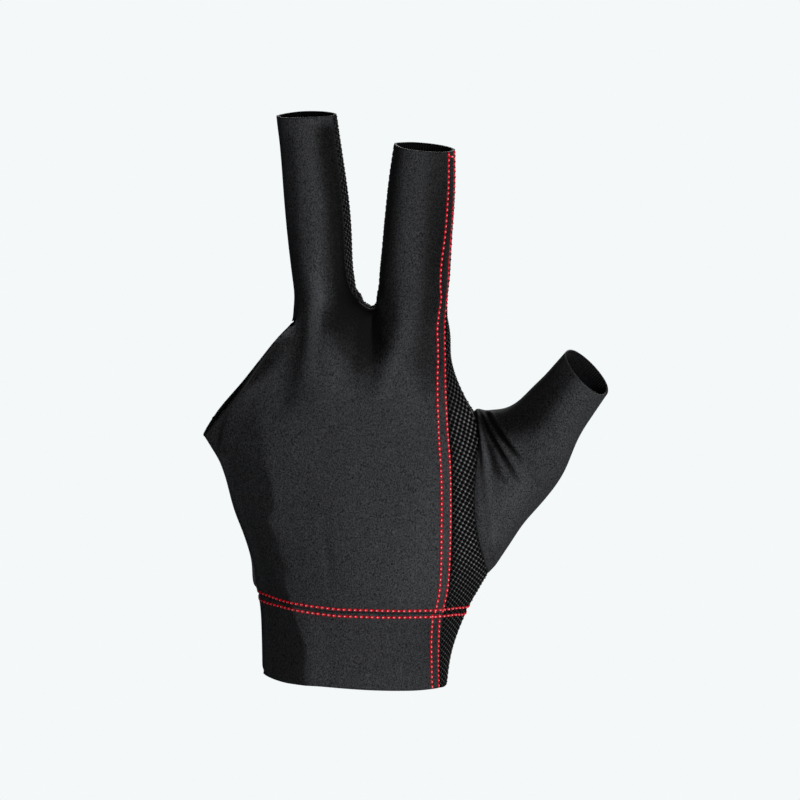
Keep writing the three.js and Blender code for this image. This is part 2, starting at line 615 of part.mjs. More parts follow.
// Depth of the folds at a point on the back of the glove.
function foldDepth(place) {
  let depth = 0;
  for (const fold of FOLDS) {
    const start = new THREE.Vector2((fold.x0 * PALM_WIDTH) / 2, CUFF_HEIGHT + fold.up0 * PALM_HEIGHT);
    const end = new THREE.Vector2((fold.x1 * PALM_WIDTH) / 2, CUFF_HEIGHT + fold.up1 * PALM_HEIGHT);
    const along = end.clone().sub(start);
    const from = new THREE.Vector2(place.x, place.z).sub(start);
    const share = THREE.MathUtils.clamp(from.dot(along) / along.lengthSq(), 0, 1);
    const away = from.addScaledVector(along, -share).length();
    const taper = Math.sin(Math.PI * Math.min(0.12 + share, 1));
    depth += fold.depth * taper * Math.exp(-((away / fold.width) ** 2));
  }
  return depth;
}

// The panel's own open edges, as directed pairs of points in the order of its faces.
function panelRim(quads) {
  const directed = new Map();
  for (const { corners } of quads) {
    corners.forEach((a, i) => directed.set(`${a},${corners[(i + 1) % 4]}`, [a, corners[(i + 1) % 4]]));
  }
  return [...directed.values()].filter(([a, b]) => !directed.has(`${b},${a}`));
}

// Moves a panel's edge points into the panel, along the surface, by the distance that inset
// gives for each edge.
function insetRim(rim, places, normals, inset) {
  const shifts = new Map();
  for (const [a, b] of rim) {
    const distance = inset(a, b);
    for (const i of [a, b]) {
      const along = places[b].clone().sub(places[a]).normalize();
      const inward = new THREE.Vector3().crossVectors(normals[i], along).normalize();
      if (!shifts.has(i)) shifts.set(i, []);
      shifts.get(i).push({ inward, distance });
    }
  }
  const moved = new Map();
  for (const [i, [p, q]] of shifts) {
    const cosine = p.inward.dot(q.inward);
    const sharp = 1 - cosine * cosine;
    const shift = p.inward.clone().add(q.inward);
    if (sharp < 0.2) {
      shift.setLength(Math.max(p.distance, q.distance));
    } else {
      shift.copy(p.inward).multiplyScalar((p.distance - cosine * q.distance) / sharp);
      shift.addScaledVector(q.inward, (q.distance - cosine * p.distance) / sharp);
    }
    moved.set(i, places[i].clone().add(shift));
  }
  return moved;
}

// A closed wall between an outer layer of quads and the same layer set in by the wall.
function shellGeometry(quads, outerOf, innerOf) {
  const order = new Map();
  const position = [];
  const keep = (i) => {
    if (!order.has(i)) {
      order.set(i, order.size);
      position.push(...outerOf(i).toArray(), ...innerOf(i).toArray());
    }
    return order.get(i);
  };
  const index = [];
  for (const { corners } of quads) {
    const [a, b, c, d] = corners.map((i) => keep(i) * 2);
    index.push(a, b, c, a, c, d);
    index.push(a + 1, c + 1, b + 1, a + 1, d + 1, c + 1);
  }
  for (const [p, q] of panelRim(quads)) {
    const a = keep(p) * 2;
    const b = keep(q) * 2;
    index.push(a, b + 1, b, a, a + 1, b + 1);
  }
  const geometry = new THREE.BufferGeometry();
  geometry.setAttribute("position", new THREE.Float32BufferAttribute(position, 3));
  geometry.setIndex(index);
  geometry.computeVertexNormals();
  return geometry;
}

// Orders directed edges into one closed loop of points.
function loopOf(edges) {
  const next = new Map(edges);
  const start = edges[0][0];
  const loop = [start];
  for (let i = next.get(start); i !== start; i = next.get(i)) loop.push(i);
  return loop;
}

// A rolled binding round a loop of the surface's edge: a rounded strip, BINDING_WIDTH along the
// surface and BINDING_THICKNESS through it.
function bindingGeometry(loop, places, normals) {
  const sides = 8;
  const position = [];
  const index = [];
  loop.forEach((i, k) => {
    const before = places[loop[(k + loop.length - 1) % loop.length]];
    const after = places[loop[(k + 1) % loop.length]];
    const along = after.clone().sub(before).normalize();
    const inward = new THREE.Vector3().crossVectors(normals[i], along).normalize();
    const centre = places[i].clone().addScaledVector(inward, BINDING_WIDTH / 2);
    centre.addScaledVector(normals[i], -KNIT_WALL / 2);
    for (let side = 0; side < sides; side += 1) {
      const angle = ((side + 0.5) / sides) * Math.PI * 2;
      const squared = 1 / Math.max(Math.abs(Math.cos(angle)), Math.abs(Math.sin(angle)));
      const round = lerp(1, squared, 0.5);
      const point = centre
        .clone()
        .addScaledVector(inward, (Math.cos(angle) * round * BINDING_WIDTH) / 2.16)
        .addScaledVector(normals[i], (Math.sin(angle) * round * BINDING_THICKNESS) / 2.16);
      position.push(...point.toArray());
    }
  });
  const rings = loop.length;
  for (let k = 0; k < rings; k += 1) {
    for (let side = 0; side < sides; side += 1) {
      const a = k * sides + side;
      const b = k * sides + ((side + 1) % sides);
      const c = ((k + 1) % rings) * sides + ((side + 1) % sides);
      const d = ((k + 1) % rings) * sides + side;
      index.push(a, b, c, a, c, d);
    }
  }
  const geometry = new THREE.BufferGeometry();
  geometry.setAttribute("position", new THREE.Float32BufferAttribute(position, 3));
  geometry.setIndex(index);
  geometry.computeVertexNormals();
  return geometry;
}

// The finished surface, split into panels
const palmGrid = buildCuffAndPalm();
buildFingers(palmGrid);
buildThumb(palmGrid);

const targets = points.map((p) => p.place);
const cage = fitCage(targets, neighbours(points.length, faces).around, 12);
const fine = subdivide(
  cage,
  points.map((p) => p.hem),
  faces,
);
const fineAround = neighbours(fine.places.length, fine.quads).around;
const smooth = limitPlaces(fine.places, fineAround);
const smoothNormals = surfaceNormals(smooth, fine.quads);
const surface = smooth.map((place, i) => {
  const onBackOfGlove = smoothNormals[i].y < 0;
  const depth = onBackOfGlove ? foldDepth(place) : 0;
  return place.clone().addScaledVector(smoothNormals[i], -depth);
});
const normals = surfaceNormals(surface, fine.quads);

// The open edges of the whole surface. The slanted opening's loop holds the edge point on the
// little-finger side.
const openEdges = panelRim(fine.quads);
const openPairs = new Set(openEdges.map(([a, b]) => `${a},${b}`));
const slantStart = palmGrid[palmGrid.length - 1][FAR_EDGE];
const slantLoop = loopOf([...openEdges].sort(([a], [b]) => (b === slantStart) - (a === slantStart)));
const onSlant = new Set(slantLoop);

const PANELS = {
  back_panel: { wall: KNIT_WALL, finish: "knit" },
  palm_panel: { wall: MESH_WALL, finish: "mesh" },
  thumb_sleeve: { wall: KNIT_WALL, finish: "knit" },
  cuff_band_back: { wall: CUFF_WALL, finish: "knit" },
  cuff_band_palm: { wall: CUFF_WALL, finish: "mesh" },
};

const glove = new THREE.Group();

function addMesh(name, geometry, finish) {
  const mesh = new THREE.Mesh(geometry, new THREE.MeshStandardMaterial(MATERIALS[finish]));
  mesh.name = name;
  glove.add(mesh);
}

for (const [name, { wall, finish }] of Object.entries(PANELS)) {
  const quads = fine.quads.filter((quad) => quad.panel === name);
  const inset = (a, b) => {
    if (!openPairs.has(`${a},${b}`)) return SEAM_GAP / 2;
    return onSlant.has(a) && onSlant.has(b) ? BINDING_WIDTH + SEAM_GAP : 0;
  };
  const moved = insetRim(panelRim(quads), surface, normals, inset);
  const outerOf = (i) => moved.get(i) ?? surface[i];
  const innerOf = (i) => outerOf(i).clone().addScaledVector(normals[i], -lerp(wall, HEM_WALL, fine.hems[i]));
  addMesh(name, shellGeometry(quads, outerOf, innerOf), finish);
}
addMesh("opening_binding", bindingGeometry(slantLoop, surface, normals), "binding");

export default glove;
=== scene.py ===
# A three-finger billiard glove worn on an unseen hand: stretch knit over the back, mesh over the
# palm, a set-in thumb sleeve and a cuff band, with red double-row seams. Sizes are in millimetres
# until to_metres, in the frame's own axes: +Z to the fingertips, +X to the thumb, -Y out of the
# back of the glove.
import math

import bpy
import numpy as np
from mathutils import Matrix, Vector
from mathutils.bvhtree import BVHTree
from mathutils.kdtree import KDTree


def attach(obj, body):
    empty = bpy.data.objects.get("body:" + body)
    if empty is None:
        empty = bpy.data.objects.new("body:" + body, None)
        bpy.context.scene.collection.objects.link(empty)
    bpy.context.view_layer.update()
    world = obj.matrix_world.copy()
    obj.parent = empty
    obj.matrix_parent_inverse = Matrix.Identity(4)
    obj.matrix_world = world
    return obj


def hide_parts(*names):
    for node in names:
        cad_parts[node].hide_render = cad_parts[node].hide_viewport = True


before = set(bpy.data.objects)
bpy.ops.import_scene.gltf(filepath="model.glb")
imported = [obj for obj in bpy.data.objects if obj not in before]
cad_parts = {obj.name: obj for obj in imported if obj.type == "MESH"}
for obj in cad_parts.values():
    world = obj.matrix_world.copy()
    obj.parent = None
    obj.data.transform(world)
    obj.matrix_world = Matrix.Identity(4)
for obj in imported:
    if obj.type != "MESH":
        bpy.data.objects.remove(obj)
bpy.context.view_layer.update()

# Sizes of the glove
WRIST_WIDTH = 64
WRIST_DEPTH = 41
CUFF_HEIGHT = 27.2
CUFF_TILT = 2.2
CUFF_SAG = 1
CUFF_SAG_X = -13
CUFF_SAG_REACH = 15
TILT_FADE = 0.25
PALM_WIDTH = 92
PALM_DEPTH = 31
PALM_HEIGHT = 103.4
CROTCH_Z = CUFF_HEIGHT + PALM_HEIGHT
CROTCH_X = 5
CROTCH_WIDTH = 4.4
CROTCH_DEPTH = 8
FAR_WEB_RISE = 0.8
MIDDLE_SHIFT = -1.9
THUMB_REACH = 36.4
THUMB_RISE = 42.6
THUMB_FORWARD = 10
THUMB_WIDTH = 20.4
THUMB_DEPTH = 18.8
THUMB_MOUTH_SKEW = 0.26
MOUTH_REACH = 12
TUBE_HALF_DEPTH = 9.5
BETWEEN_TUBES = 8
FINGER_TIPS_FROM = 150
THUMB_TIP_FROM = 60
HEM_WIDTH = 5
HEM_STEP = 1.2
KNIT_WALL = 0.7
MESH_WALL = 0.8
CUFF_WALL = 1.1
HEM_WALL = 0.9
HEM_PITCH = 0.95
HEM_MARK = (0.4, 4.2)
BINDING_WIDTH = 1.4
BINDING_THICKNESS = 1.3
BINDING_STEP = 0.9
BINDING_SIDES = 12
# The turned-away front: how much of its shape is flattened, how much painted shade it takes, how round
# it turns, the heights of its line, and where the flattening and the painted shade fade out.
FACET_SHARE = 0.85
FACET_PAINTED_SHADE = 0.36
FACET_ROUND = 0.85
FACET_LEVELS = np.linspace(-3, 112, 60)
FACET_FADE = (84, 110)
FACET_SHADE_FADE = (88, 106)
SEAM_INSET = 0.06
SEAM_GROOVE = 0.3
SEAM_REACH = 0.7
FAR_FROM_MOUTHS = 70.0
FIT_ROUNDS = 12
MARCH_STEP = 0.6
LEVELS = 4

# Rows of stitches: how far apart they start, and what share of that a stitch takes up
RED_ROW = (1.88, 0.96)
CHAIN_ROW = (2.1, 0.84)
ARMHOLE_ROW = (1.3, 0.7)
OVERLOCK_PITCH = 1.05
OVERLOCK_REACH = 0.75
CHAIN_ASIDE = 1.1
BAR_BELOW_MOUTH = 4
BAR_REACH = (1.9, 6.9)
BAR_PITCH = 0.32

# Threads: width, height, rise over the cloth, how far the ends sink in, sides, and rings of points
RED_THREAD = (0.96, 0.62, 0.12, 0.16, 8, 7)
BAR_THREAD = (0.62, 0.5, 0.34, 0.05, 8, 9)
SEAM_THREAD = (0.34, 0.24, 0.05, 0.1, 6, 5)
BINDING_THREAD = (0.3, 0.3, 0.22, 0.02, 6, 5)
HEM_THREAD = (0.3, 0.26, 0.1, 0.05, 6, 5)

# The thread that wraps the binding: where it starts over each step, and for its two ends how far
# on along the edge they are and their shares of the binding's width and thickness
WRAP_TURNS = (0.15, 0.65)
WRAP_ENDS = ((-0.35, 0.42, 0.38), (0, -0.5, 0.34))
WRAPPED_BELOW = 119

# The mesh: how its rows rise and its columns lean in the cloth, how depth counts as distance round
# the edge, how far apart its knots are along a row and from row to row, their own size, and the
# heights between which the front's knots grow, as the mesh is stretched, and take a painted highlight,
# and ease again
ROW_RISE = 0.2
COLUMN_LEAN = 0.276
ROUND_EDGE = 0.6
KNOT_ACROSS = 2.3
KNOT_UP = 1.07
KNOT_WIDTH = 0.9
KNOT_HEIGHT = 1.05
KNOT_RISE = 0.3
KNOT_SIDES = 6
STRETCH_AND_GLINT_SETS_IN = (22, 56)
STRETCH_AND_GLINT_FADES = (90, 106)


def table(columns, rows):
    """A table of named columns, each an array."""
    names = columns.split()
    return {name: np.array([row[i] for row in rows], float) for i, name in enumerate(names)}


# The cuff and palm, section by section: heights as shares of the cuff's and the palm's, half
# widths and half depths as shares of ones that grow from the wrist's to the palm's.
SECTIONS = table("cuff palm grow left right front back square", [
    (0, 0, 0, 1, 1, 1, 1, 2),
    (0.35, 0, 0, 1, 1.04, 0.99, 1, 2),
    (0.66, 0, 0, 1.01, 1.105, 0.97, 0.99, 2),
    (1, 0, 0, 1.03, 1.22, 0.95, 0.98, 2.1),
    (1, 0.05, 0.1, 1.03, 1.25, 0.94, 1, 2.2),
    (1, 0.11, 0.25, 0.985, 1.29, 0.93, 1.05, 2.3),
    (1, 0.2, 0.5, 0.96, 1.355, 0.95, 1.12, 2.4),
    (1, 0.31, 0.75, 0.975, 1.385, 0.97, 1.17, 2.5),
    (1, 0.38, 0.9, 0.97, 1.39, 0.98, 1.17, 2.5),
    (1, 0.45, 1, 0.99, 1.33, 0.98, 1.16, 2.5),
    (1, 0.51, 1, 1.05, 1.24, 0.96, 1.12, 2.5),
    (1, 0.57, 1, 1.13, 1.13, 0.93, 1.06, 2.5),
    (1, 0.65, 1, 1.14, 0.87, 0.9, 1, 2.5),
    (1, 0.71, 1, 1.12, 0.805, 0.87, 0.95, 2.5),
    (1, 0.78, 1, 1.09, 0.747, 0.83, 0.9, 2.5),
    (1, 0.85, 1, 1.06, 0.715, 0.78, 0.84, 2.4),
    (1, 0.92, 1, 1.03, 0.71, 0.73, 0.77, 2.3),
    (1, 1, 1, 1, 0.695, 0.68, 0.7, 2.2),
])

# The side seam's x, as a share of half the wrist's or the palm's width.
SIDE_SEAM_LINE = table("cuff palm wrist wide", [
    (0, 0, 0.922, 0), (0.5, 0, 0.922, 0), (1, 0, 0.965, 0), (1, 0.044, 0.997, 0),
    (1, 0.112, 0, 0.715), (1, 0.25, 0, 0.731), (1, 0.45, 0, 0.727), (1, 0.58, 0, 0.709),
    (1, 0.72, 0, 0.694), (1, 0.85, 0, 0.685), (1, 0.98, 0, 0.68),
])

# Lines up the glove, from the thumb side over the back to the little-finger side and home over
# the palm: side, what its shares are of, shares at the wrist, middle and top, the line's height,
# what is left of the depth at its top, and where that begins.
LINES = [
    ("edge", "right", 1, 1, 1, 0.925, 1, 0.8),
    ("front", "right", 0.98, 0.98, 0.985, 0.925, 1, 0.8),
    ("front", "seam", 1, 1, 1, 0.925, 1, 0.8),
    ("front", "seam", 0.78, 0.79, 0.87, 0.93, 1, 0.8),
    ("front", "seam", 0.58, 0.6, 0.67, 0.935, 1, 0.8),
    ("front", "seam", 0.43, 0.425, 0.45, 0.948, 0.96, 0.75),
    ("front", "seam", 0.28, 0.25, 0.238, 0.968, 0.6, 0.62),
    ("front", "seam", 0.13, 0.118, 0.12, 0.968, 0.6, 0.62),
    ("front", "left", 0.125, 0.11, 0.098, 0.95, 0.97, 0.75),
    ("front", "left", 0.375, 0.3, 0.273, 0.94, 0.9, 0.7),
    ("front", "left", 0.62, 0.5, 0.447, 0.95, 0.52, 0.55),
    ("front", "left", 0.86, 0.76, 0.637, 0.845, 0.46, 0.4),
    ("front", "left", 0.975, 0.94, 0.813, 0.7, 0.42, 0.4),
    ("edge", "left", 1, 1, 1, 0.568, 1, 0.8),
    ("back", "left", 0.975, 0.94, 0.93, 0.626, 0.5, 0.4),
    ("back", "left", 0.86, 0.79, 0.73, 0.775, 0.46, 0.4),
    ("back", "left", 0.62, 0.5, 0.447, 0.945, 0.52, 0.55),
    ("back", "left", 0.375, 0.3, 0.273, 0.94, 0.9, 0.7),
    ("back", "left", 0.125, 0.11, 0.098, 0.95, 0.97, 0.75),
    ("back", "seam", 0.13, 0.118, 0.12, 0.968, 0.6, 0.7),
    ("back", "seam", 0.28, 0.25, 0.238, 0.968, 0.6, 0.7),
    ("back", "seam", 0.62, 0.57, 0.535, 0.94, 1, 0.8),
    ("back", "seam", 0.9, 0.9, 0.78, 0.93, 1, 0.8),
    ("back", "right", 0.97, 0.97, 0.95, 0.925, 1, 0.8),
]
THUMB_EDGE = 0
THUMB_SEAM_FRONT = 1
SIDE_SEAM = 2
INDEX_WEB_FRONT = 6
MIDDLE_WEB_FRONT = 7
MIDDLE_FAR_FRONT = 10
FAR_EDGE = 13
FAR_SEAM = 14
MIDDLE_FAR_BACK = 16
MIDDLE_WEB_BACK = 19
INDEX_WEB_BACK = 20
THUMB_SEAM_BACK = 23
BACK_LINE = 5
PALM_LINE = 18
MIDDLE_ROW = 4
HALF_WAY_UP = 3
CUFF_ROWS = [0, 0.5]
PALM_ROWS = [0, 0.058, 0.118, 0.215, 0.313, 0.411, 0.51, 0.607, 0.707, 0.8, 0.9, 1]
ARMHOLE_LOW = 2
ARMHOLE_HIGH = 8
WEBS = {"index": (0.2, 0.5), "middle": (0.35, 0.5), "far": (0.3, 0.3)}

# The thumb's edge, as the mesh counts its columns from it.
THUMB_SIDE = table("z x", [(0, 33), (30, 40), (100, 37), (CROTCH_Z, 34)])

# The armhole's seam from its low end to its high end, with the edge's own point at each end.
ARMHOLE = [
    (1, 0.106), (0.987, 0.144), (0.941, 0.208), (0.907, 0.292), (0.896, 0.373), (0.907, 0.454),
    (0.93, 0.535), (0.922, 0.603), (0.87, 0.653),
]

# Tubes from the crotch up. left, right and deep are shares of the tube's half width and depth,
# and seam and web are the angles of the knit's two edges.
MIDDLE = {
    "length": 66,
    "width": 20.2,
    "depth": 19.2,
    "lean": -5.2,
    "slope": 0,
    "rows": [0.045, 0.16, 0.38, 0.6, 0.8, 1],
    "angles": [60, 88, 114, 142, 170, "web", 230, 258, 286, 314, 350, "seam"],
    "sections": table("up left right deep seam web", [
        (0.045, 1, 1.3, 1.08, 26, 200),
        (0.11, 1.01, 1.15, 1.04, 34, 200),
        (0.25, 1.03, 1.14, 1.02, 38, 200),
        (0.45, 1.08, 1.2, 1.02, 36, 200),
        (0.65, 1.05, 1.17, 1.01, 33, 200),
        (0.82, 1.02, 1.1, 1, 29, 200),
        (1, 1.02, 1.03, 1, 24, 200),
    ]),
}
INDEX = {
    "length": 55,
    "width": 21,
    "depth": 19.4,
    "lean": 4.2,
    "slope": -0.09,
    "rows": [0.05, 0.18, 0.4, 0.6, 0.8, 1],
    "angles": [-33, -16, "seam", 36, 72, 108, 142, "web", 214, 240, 262, 284, 306],
    "sections": table("up left right deep seam web", [
        (0.05, 1.23, 1.13, 1.08, 0, 176),
        (0.14, 1.19, 1.15, 1.05, 0, 182),
        (0.3, 1.155, 1.14, 1.03, 0, 187),
        (0.5, 1.145, 1.12, 1.02, 0, 188),
        (0.68, 1.11, 1.12, 1.01, 0, 188),
        (0.84, 1.07, 1.07, 1, 0, 188),
        (1, 1, 1, 1, 0, 188),
    ]),
}

# The thumb sleeve from its armhole to its mouth.
THUMB_SECTIONS = table("along out up grow front back forward turn", [
    (0, 0, 0, 1, 1.54, 1.9, 0, 97),
    (0.12, 0.131, 0.07, 0.815, 1.6, 1.8, 0.02, 97),
    (0.27, 0.298, 0.204, 0.545, 1.55, 1.65, 0.08, 102),
    (0.42, 0.468, 0.326, 0.386, 1.47, 1.5, 0.2, 107),
    (0.56, 0.62, 0.482, 0.307, 1.38, 1.36, 0.38, 111),
    (0.7, 0.734, 0.656, 0.164, 1.22, 1.2, 0.6, 115),
    (0.84, 0.854, 0.82, 0.068, 1.09, 1.09, 0.8, 122),
    (1, 1, 1, 0, 1, 1, 1, 135),
])
THUMB_ROWS = [0.06, 0.12, 0.19, 0.27, 0.36, 0.47, 0.6, 0.74, 0.87, 1]

# Folds: points in x and z, then how wide and how deep each is pressed in. A negative depth is a
# raised ridge. The first fan out over the thumb from the crotch, the rest cross the back.
FOLDS = [
    ([(42.6, 95.4), (46.6, 87.5), (50.2, 81.6), (54.7, 74.3)], 0.65, 0.8),
    ([(44.2, 95.3), (50.2, 87.5), (54.5, 82), (57.1, 79.2)], 0.65, 0.85),
    ([(43.3, 92), (46.7, 83.4), (49.5, 74.3), (53.6, 67.3)], 0.7, 0.55),
    ([(45.6, 95.6), (51.5, 87.8), (55.8, 82.4)], 0.7, -0.4),
    ([(42.5, 93), (48.4, 84.8), (52.5, 77.5)], 0.9, -0.35),
    ([(45.5, 84.5), (48.2, 75), (51.5, 68)], 0.9, -0.25),
    ([(58, 78), (60.5, 72), (62, 67)], 2.2, 0.45),
    ([(64, 92), (68, 86), (69.5, 80)], 2.4, 0.4),
    ([(-27, 51), (-24.5, 40), (-22.5, 31)], 1.8, 0.45),
    ([(-11.5, 56), (-9, 43), (-8, 30)], 1.8, 0.35),
    ([(-29, 91.5), (-18, 89.5), (-9, 90.5)], 1.1, 0.25),
    ([(-25, 96.5), (-14, 94.5), (-4, 95.5)], 1.1, 0.25),
    ([(-20, 102), (-9, 100), (2, 101)], 1.1, 0.25),
    ([(-14, 107.5), (-5, 106), (3, 106.5)], 1.0, 0.2),
    ([(9, 99), (17, 101), (25, 104)], 1.2, 0.25),
    ([(2, 84), (12, 86), (24, 90)], 1.6, 0.25),
    ([(-18, 80), (-6, 74), (6, 72)], 2.0, 0.25),
]

# Hollows between the fingers' ridges: points in x and z, then width and depth.
HOLLOWS = [
    ([(7, 127), (6.4, 118), (5, 110), (4.5, 101)], 6.4, 0.9),
    ([(6.2, 131), (6, 123), (5.6, 117), (5.2, 110)], 2.6, -0.9),
    ([(-18.5, 122), (-20.5, 112), (-23.5, 102), (-26, 94)], 3.2, 1.3),
    ([(-3, 127), (-5.5, 119), (-6, 110)], 3.5, 0.8),
]

# Painted shade laid over the knit along hollows, creases and flanks turned from the light: points of
# x, z, width and share. A negative share is painted light, which looks lighter than the rest.
PAINTED_SHADING = [
    [(4.5, 136, 5, 0.75), (6, 125.5, 7, 0.88), (6.2, 118.5, 7, 0.85), (4, 111.5, 5.2, 0.68),
     (4, 101, 4, 0)],
    [(-22, 188, 1.8, 0.3), (-20.7, 167, 1.8, 0.35), (-20, 148, 2.2, 0.5), (-18.2, 135, 2.4, 0.5),
     (-18, 125.4, 2.8, 0.5), (-18.9, 118.4, 3, 0.52), (-21.3, 111.4, 3.1, 0.46),
     (-23.2, 102.7, 3, 0.24), (-25, 96, 3, 0)],
    [(-9.4, 190, 4.5, 0.74), (-6.4, 167, 4.2, 0.76), (-4.2, 147, 5.8, 0.8), (-2.5, 134, 6.3, 0.88),
     (-4.5, 125.5, 7, 0.8), (-2.5, 118.5, 5.5, 0.58), (-1, 111.5, 3.6, 0.28), (-2, 101, 3, 0)],
    [(30, 190, 4.5, 0.45), (29.5, 167, 6, 0.64), (27.8, 147, 5, 0.72), (26.5, 125, 5.5, 0.56),
     (26, 112, 7, 0.55), (27, 103, 5, 0.36), (29, 94, 4, 0)],
    [(14, 186, 2, 0.3), (12.8, 167, 3, 0.35), (11.5, 148, 3.5, 0.42), (11.8, 137, 3.5, 0.46),
     (13.6, 125.5, 2.6, 0.5), (12.5, 119, 2, 0.1)],
    [(-13.8, 148, 2.4, -0.15), (-12.2, 134, 2.2, -0.8), (-13.6, 125.5, 2.2, -1.2),
     (-14.7, 118.5, 2.4, -0.9), (-15.3, 111.5, 3, -0.5), (-14, 103, 3, 0)],
    [(14.5, 118, 1.8, -0.1), (13, 111.5, 2.3, -0.55), (10.5, 103, 3, -0.35), (9, 95, 3, 0)],
    [(-21.4, 124.6, 1.5, -0.5), (-23.8, 121.4, 1.4, -0.5)],
    [(-23.6, 119, 3, 0.42), (-27, 115.2, 3.3, 0.52), (-30, 111.5, 3.2, 0.66), (-34, 107, 2.6, 0.56),
     (-38.5, 103, 2.2, 0.5), (-42, 99, 2, 0.3)],
    [(-46, 77, 2.2, -0.5), (-44, 68, 2.2, -0.4), (-41, 61, 2.2, -0.3), (-38, 53, 2.2, -0.3),
     (-35.5, 44, 2.2, -0.5), (-33.5, 35, 2.2, -0.5), (-32, 26, 2.2, -0.4), (-31.4, 3, 2.2, -0.5)],
    [(42.5, 95, 4, 0.6), (50.2, 90.5, 5.8, 0.62), (60.5, 93.2, 5, 0.62), (64.7, 99, 4.5, 0.55),
     (70, 105.5, 4, 0.5), (75, 111.5, 3, 0.4)],
    [(42.6, 95.4, 0.6, 0.5), (46.6, 87.5, 0.9, 0.88), (50.2, 81.6, 1.1, 0.9), (54.7, 74.3, 1.2, 0.6),
     (57.3, 70.5, 1, 0)],
    [(44.2, 95.3, 0.6, 0.5), (50.2, 87.5, 0.95, 0.85), (54.5, 82, 1, 0.75), (57.6, 78, 0.9, 0.1)],
    [(43.3, 92, 0.5, 0.3), (46.2, 83.4, 0.9, 0.75), (48.6, 75.5, 1.1, 0.7), (52.8, 67.8, 0.9, 0)],
    [(45, 86, 1.6, -0.3), (44.6, 76, 2.2, -0.6), (45, 62, 2.4, -0.6), (47, 50, 2, -0.4)],
    [(57, 78, 5, -0.1), (55, 66, 5, -0.22), (50, 52, 3, -0.15)],
    [(-34, 13, 15, 0.06), (5, 13, 18, 0.1), (30, 13, 15, 0.26)],
    [(-13.5, 22, 3, -0.15), (-12.5, 12, 3.5, -0.2), (-12, 3, 3.5, -0.2)],
    [(-16, 92, 13, 0.12), (-14, 66, 13, 0.14), (-12, 38, 13, 0.14)],
    [(2, 96, 11, 0.1), (6, 82, 11, 0.04)],
    [(30, 70, 9, -0.1), (27, 48, 11, -0.14), (20, 34, 9, -0.06)],
    [(40.5, 96, 1.5, 0.3), (46, 96, 1.5, 0.3)],
]

# The front of the little-finger side turns away along a line: its height, its x and how softly the
# painted shade sets in beyond it.
FACET = table("z x soft", [
    (0, -17, 3.6), (5, -17.6, 3.2), (12, -16.6, 1.6), (18, -18.8, 1.2), (27, -21.7, 1),
    (34, -24, 1), (40, -24.2, 1.2), (46, -25.8, 1), (52, -27, 1.4), (57, -29.6, 2),
    (62, -27.6, 1.2), (70, -28, 1.3), (78, -30.4, 1.8), (93, -32.7, 2.6), (102, -35, 2.6),
])

# Small pulls in the worn cloth: where in x and z, how far they reach, and how far they move it.
PULLS = table("x z reach_x reach_z dx dz", [
    (-26, 160, 6, 34, 0.55, 0),
    (-27, 194, 7, 5, 0, -0.9),
    (-46, 62, 9, 16, -0.5, 0),
    (-36, 34, 8, 7, -0.9, 0),
    (-33, 12, 8, 16, -0.35, 0),
    (-26, -1, 9, 7, 0, -1.6),
    (-40, 105, 7, 22, 0.5, -0.5),
    (-25, 119, 5, 6, -0.5, 0.1),
    (1.8, 133, 1.8, 3, 0.2, 0.9),
    (-21, 124.7, 2, 1.9, -0.7, 0),
    (-21.6, 126.6, 1.8, 2, 0.1, -1.3),
    (-32.2, 2.2, 1.3, 1.2, 0.5, 0.2),
    (1.8, 136.2, 2, 2.4, -0.8, 0),
    (3.6, 131.5, 1.3, 1.8, 0, 0.5),
    (5.9, 131, 1.3, 2, 0, -0.45),
    (8.4, 131.4, 1.3, 1.6, -0.55, 0.2),
    (8.3, 136, 1.8, 4, 0.6, 0),
])


def smoothstep(x, low, high):
    t = np.clip((np.asarray(x, float) - low) / (high - low), 0, 1)
    return t * t * (3 - 2 * t)


def bell(distance, reach):
    return np.exp(-((distance / reach) ** 2))


def unit(v):
    return v / np.maximum(np.linalg.norm(v, axis=-1, keepdims=True), 1e-9)


def square_to(v, axis):
    """The part of v that is square to a unit axis, as a unit vector."""
    return unit(v - axis * (v * axis).sum(-1, keepdims=True))


def read_table(rows, keys, t):
    """The table's row at key t, on a smooth curve through its rows."""
    last = len(keys) - 1
    t = min(max(t, keys[0]), keys[last])
    i = 0
    while i < last - 1 and t > keys[i + 1]:
        i += 1
    span = keys[i + 1] - keys[i]
    s = (t - keys[i]) / span
    out = {}
    for name, values in rows.items():

        def slope(j):
            a, b = max(j - 1, 0), min(j + 1, last)
            return (values[b] - values[a]) / (keys[b] - keys[a])

        out[name] = (
            (2 * s**3 - 3 * s**2 + 1) * values[i]
            + (s**3 - 2 * s**2 + s) * slope(i) * span
            + (3 * s**2 - 2 * s**3) * values[i + 1]
            + (s**3 - s**2) * slope(i + 1) * span
        )
    return out


def heights(rows):
    return rows["cuff"] * CUFF_HEIGHT + rows["palm"] * PALM_HEIGHT


def section_at(z):
    row = read_table(SECTIONS, heights(SECTIONS), z)
    half_width = (WRIST_WIDTH + (PALM_WIDTH - WRIST_WIDTH) * row["grow"]) / 2
    half_depth = (WRIST_DEPTH + (PALM_DEPTH - WRIST_DEPTH) * row["grow"]) / 2
    return {
        "left": -row["left"] * half_width,
        "right": row["right"] * half_width,
        "front": row["front"] * half_depth,
        "back": row["back"] * half_depth,
        "square": row["square"],
    }


def depth_at(side, x, z):
    if side == "edge":
        return 0.0
    section = section_at(z)
    centre = (section["left"] + section["right"]) / 2
    half = (section["right"] - section["left"]) / 2
    u = min(abs(x - centre) / half, 1)
    height = math.sqrt(1 - u ** section["square"])
    return -section["front"] * height if side == "front" else section["back"] * height


def side_seam_x(z):
    row = read_table(SIDE_SEAM_LINE, heights(SIDE_SEAM_LINE), z)
    return (row["wrist"] * WRIST_WIDTH + row["wide"] * PALM_WIDTH) / 2


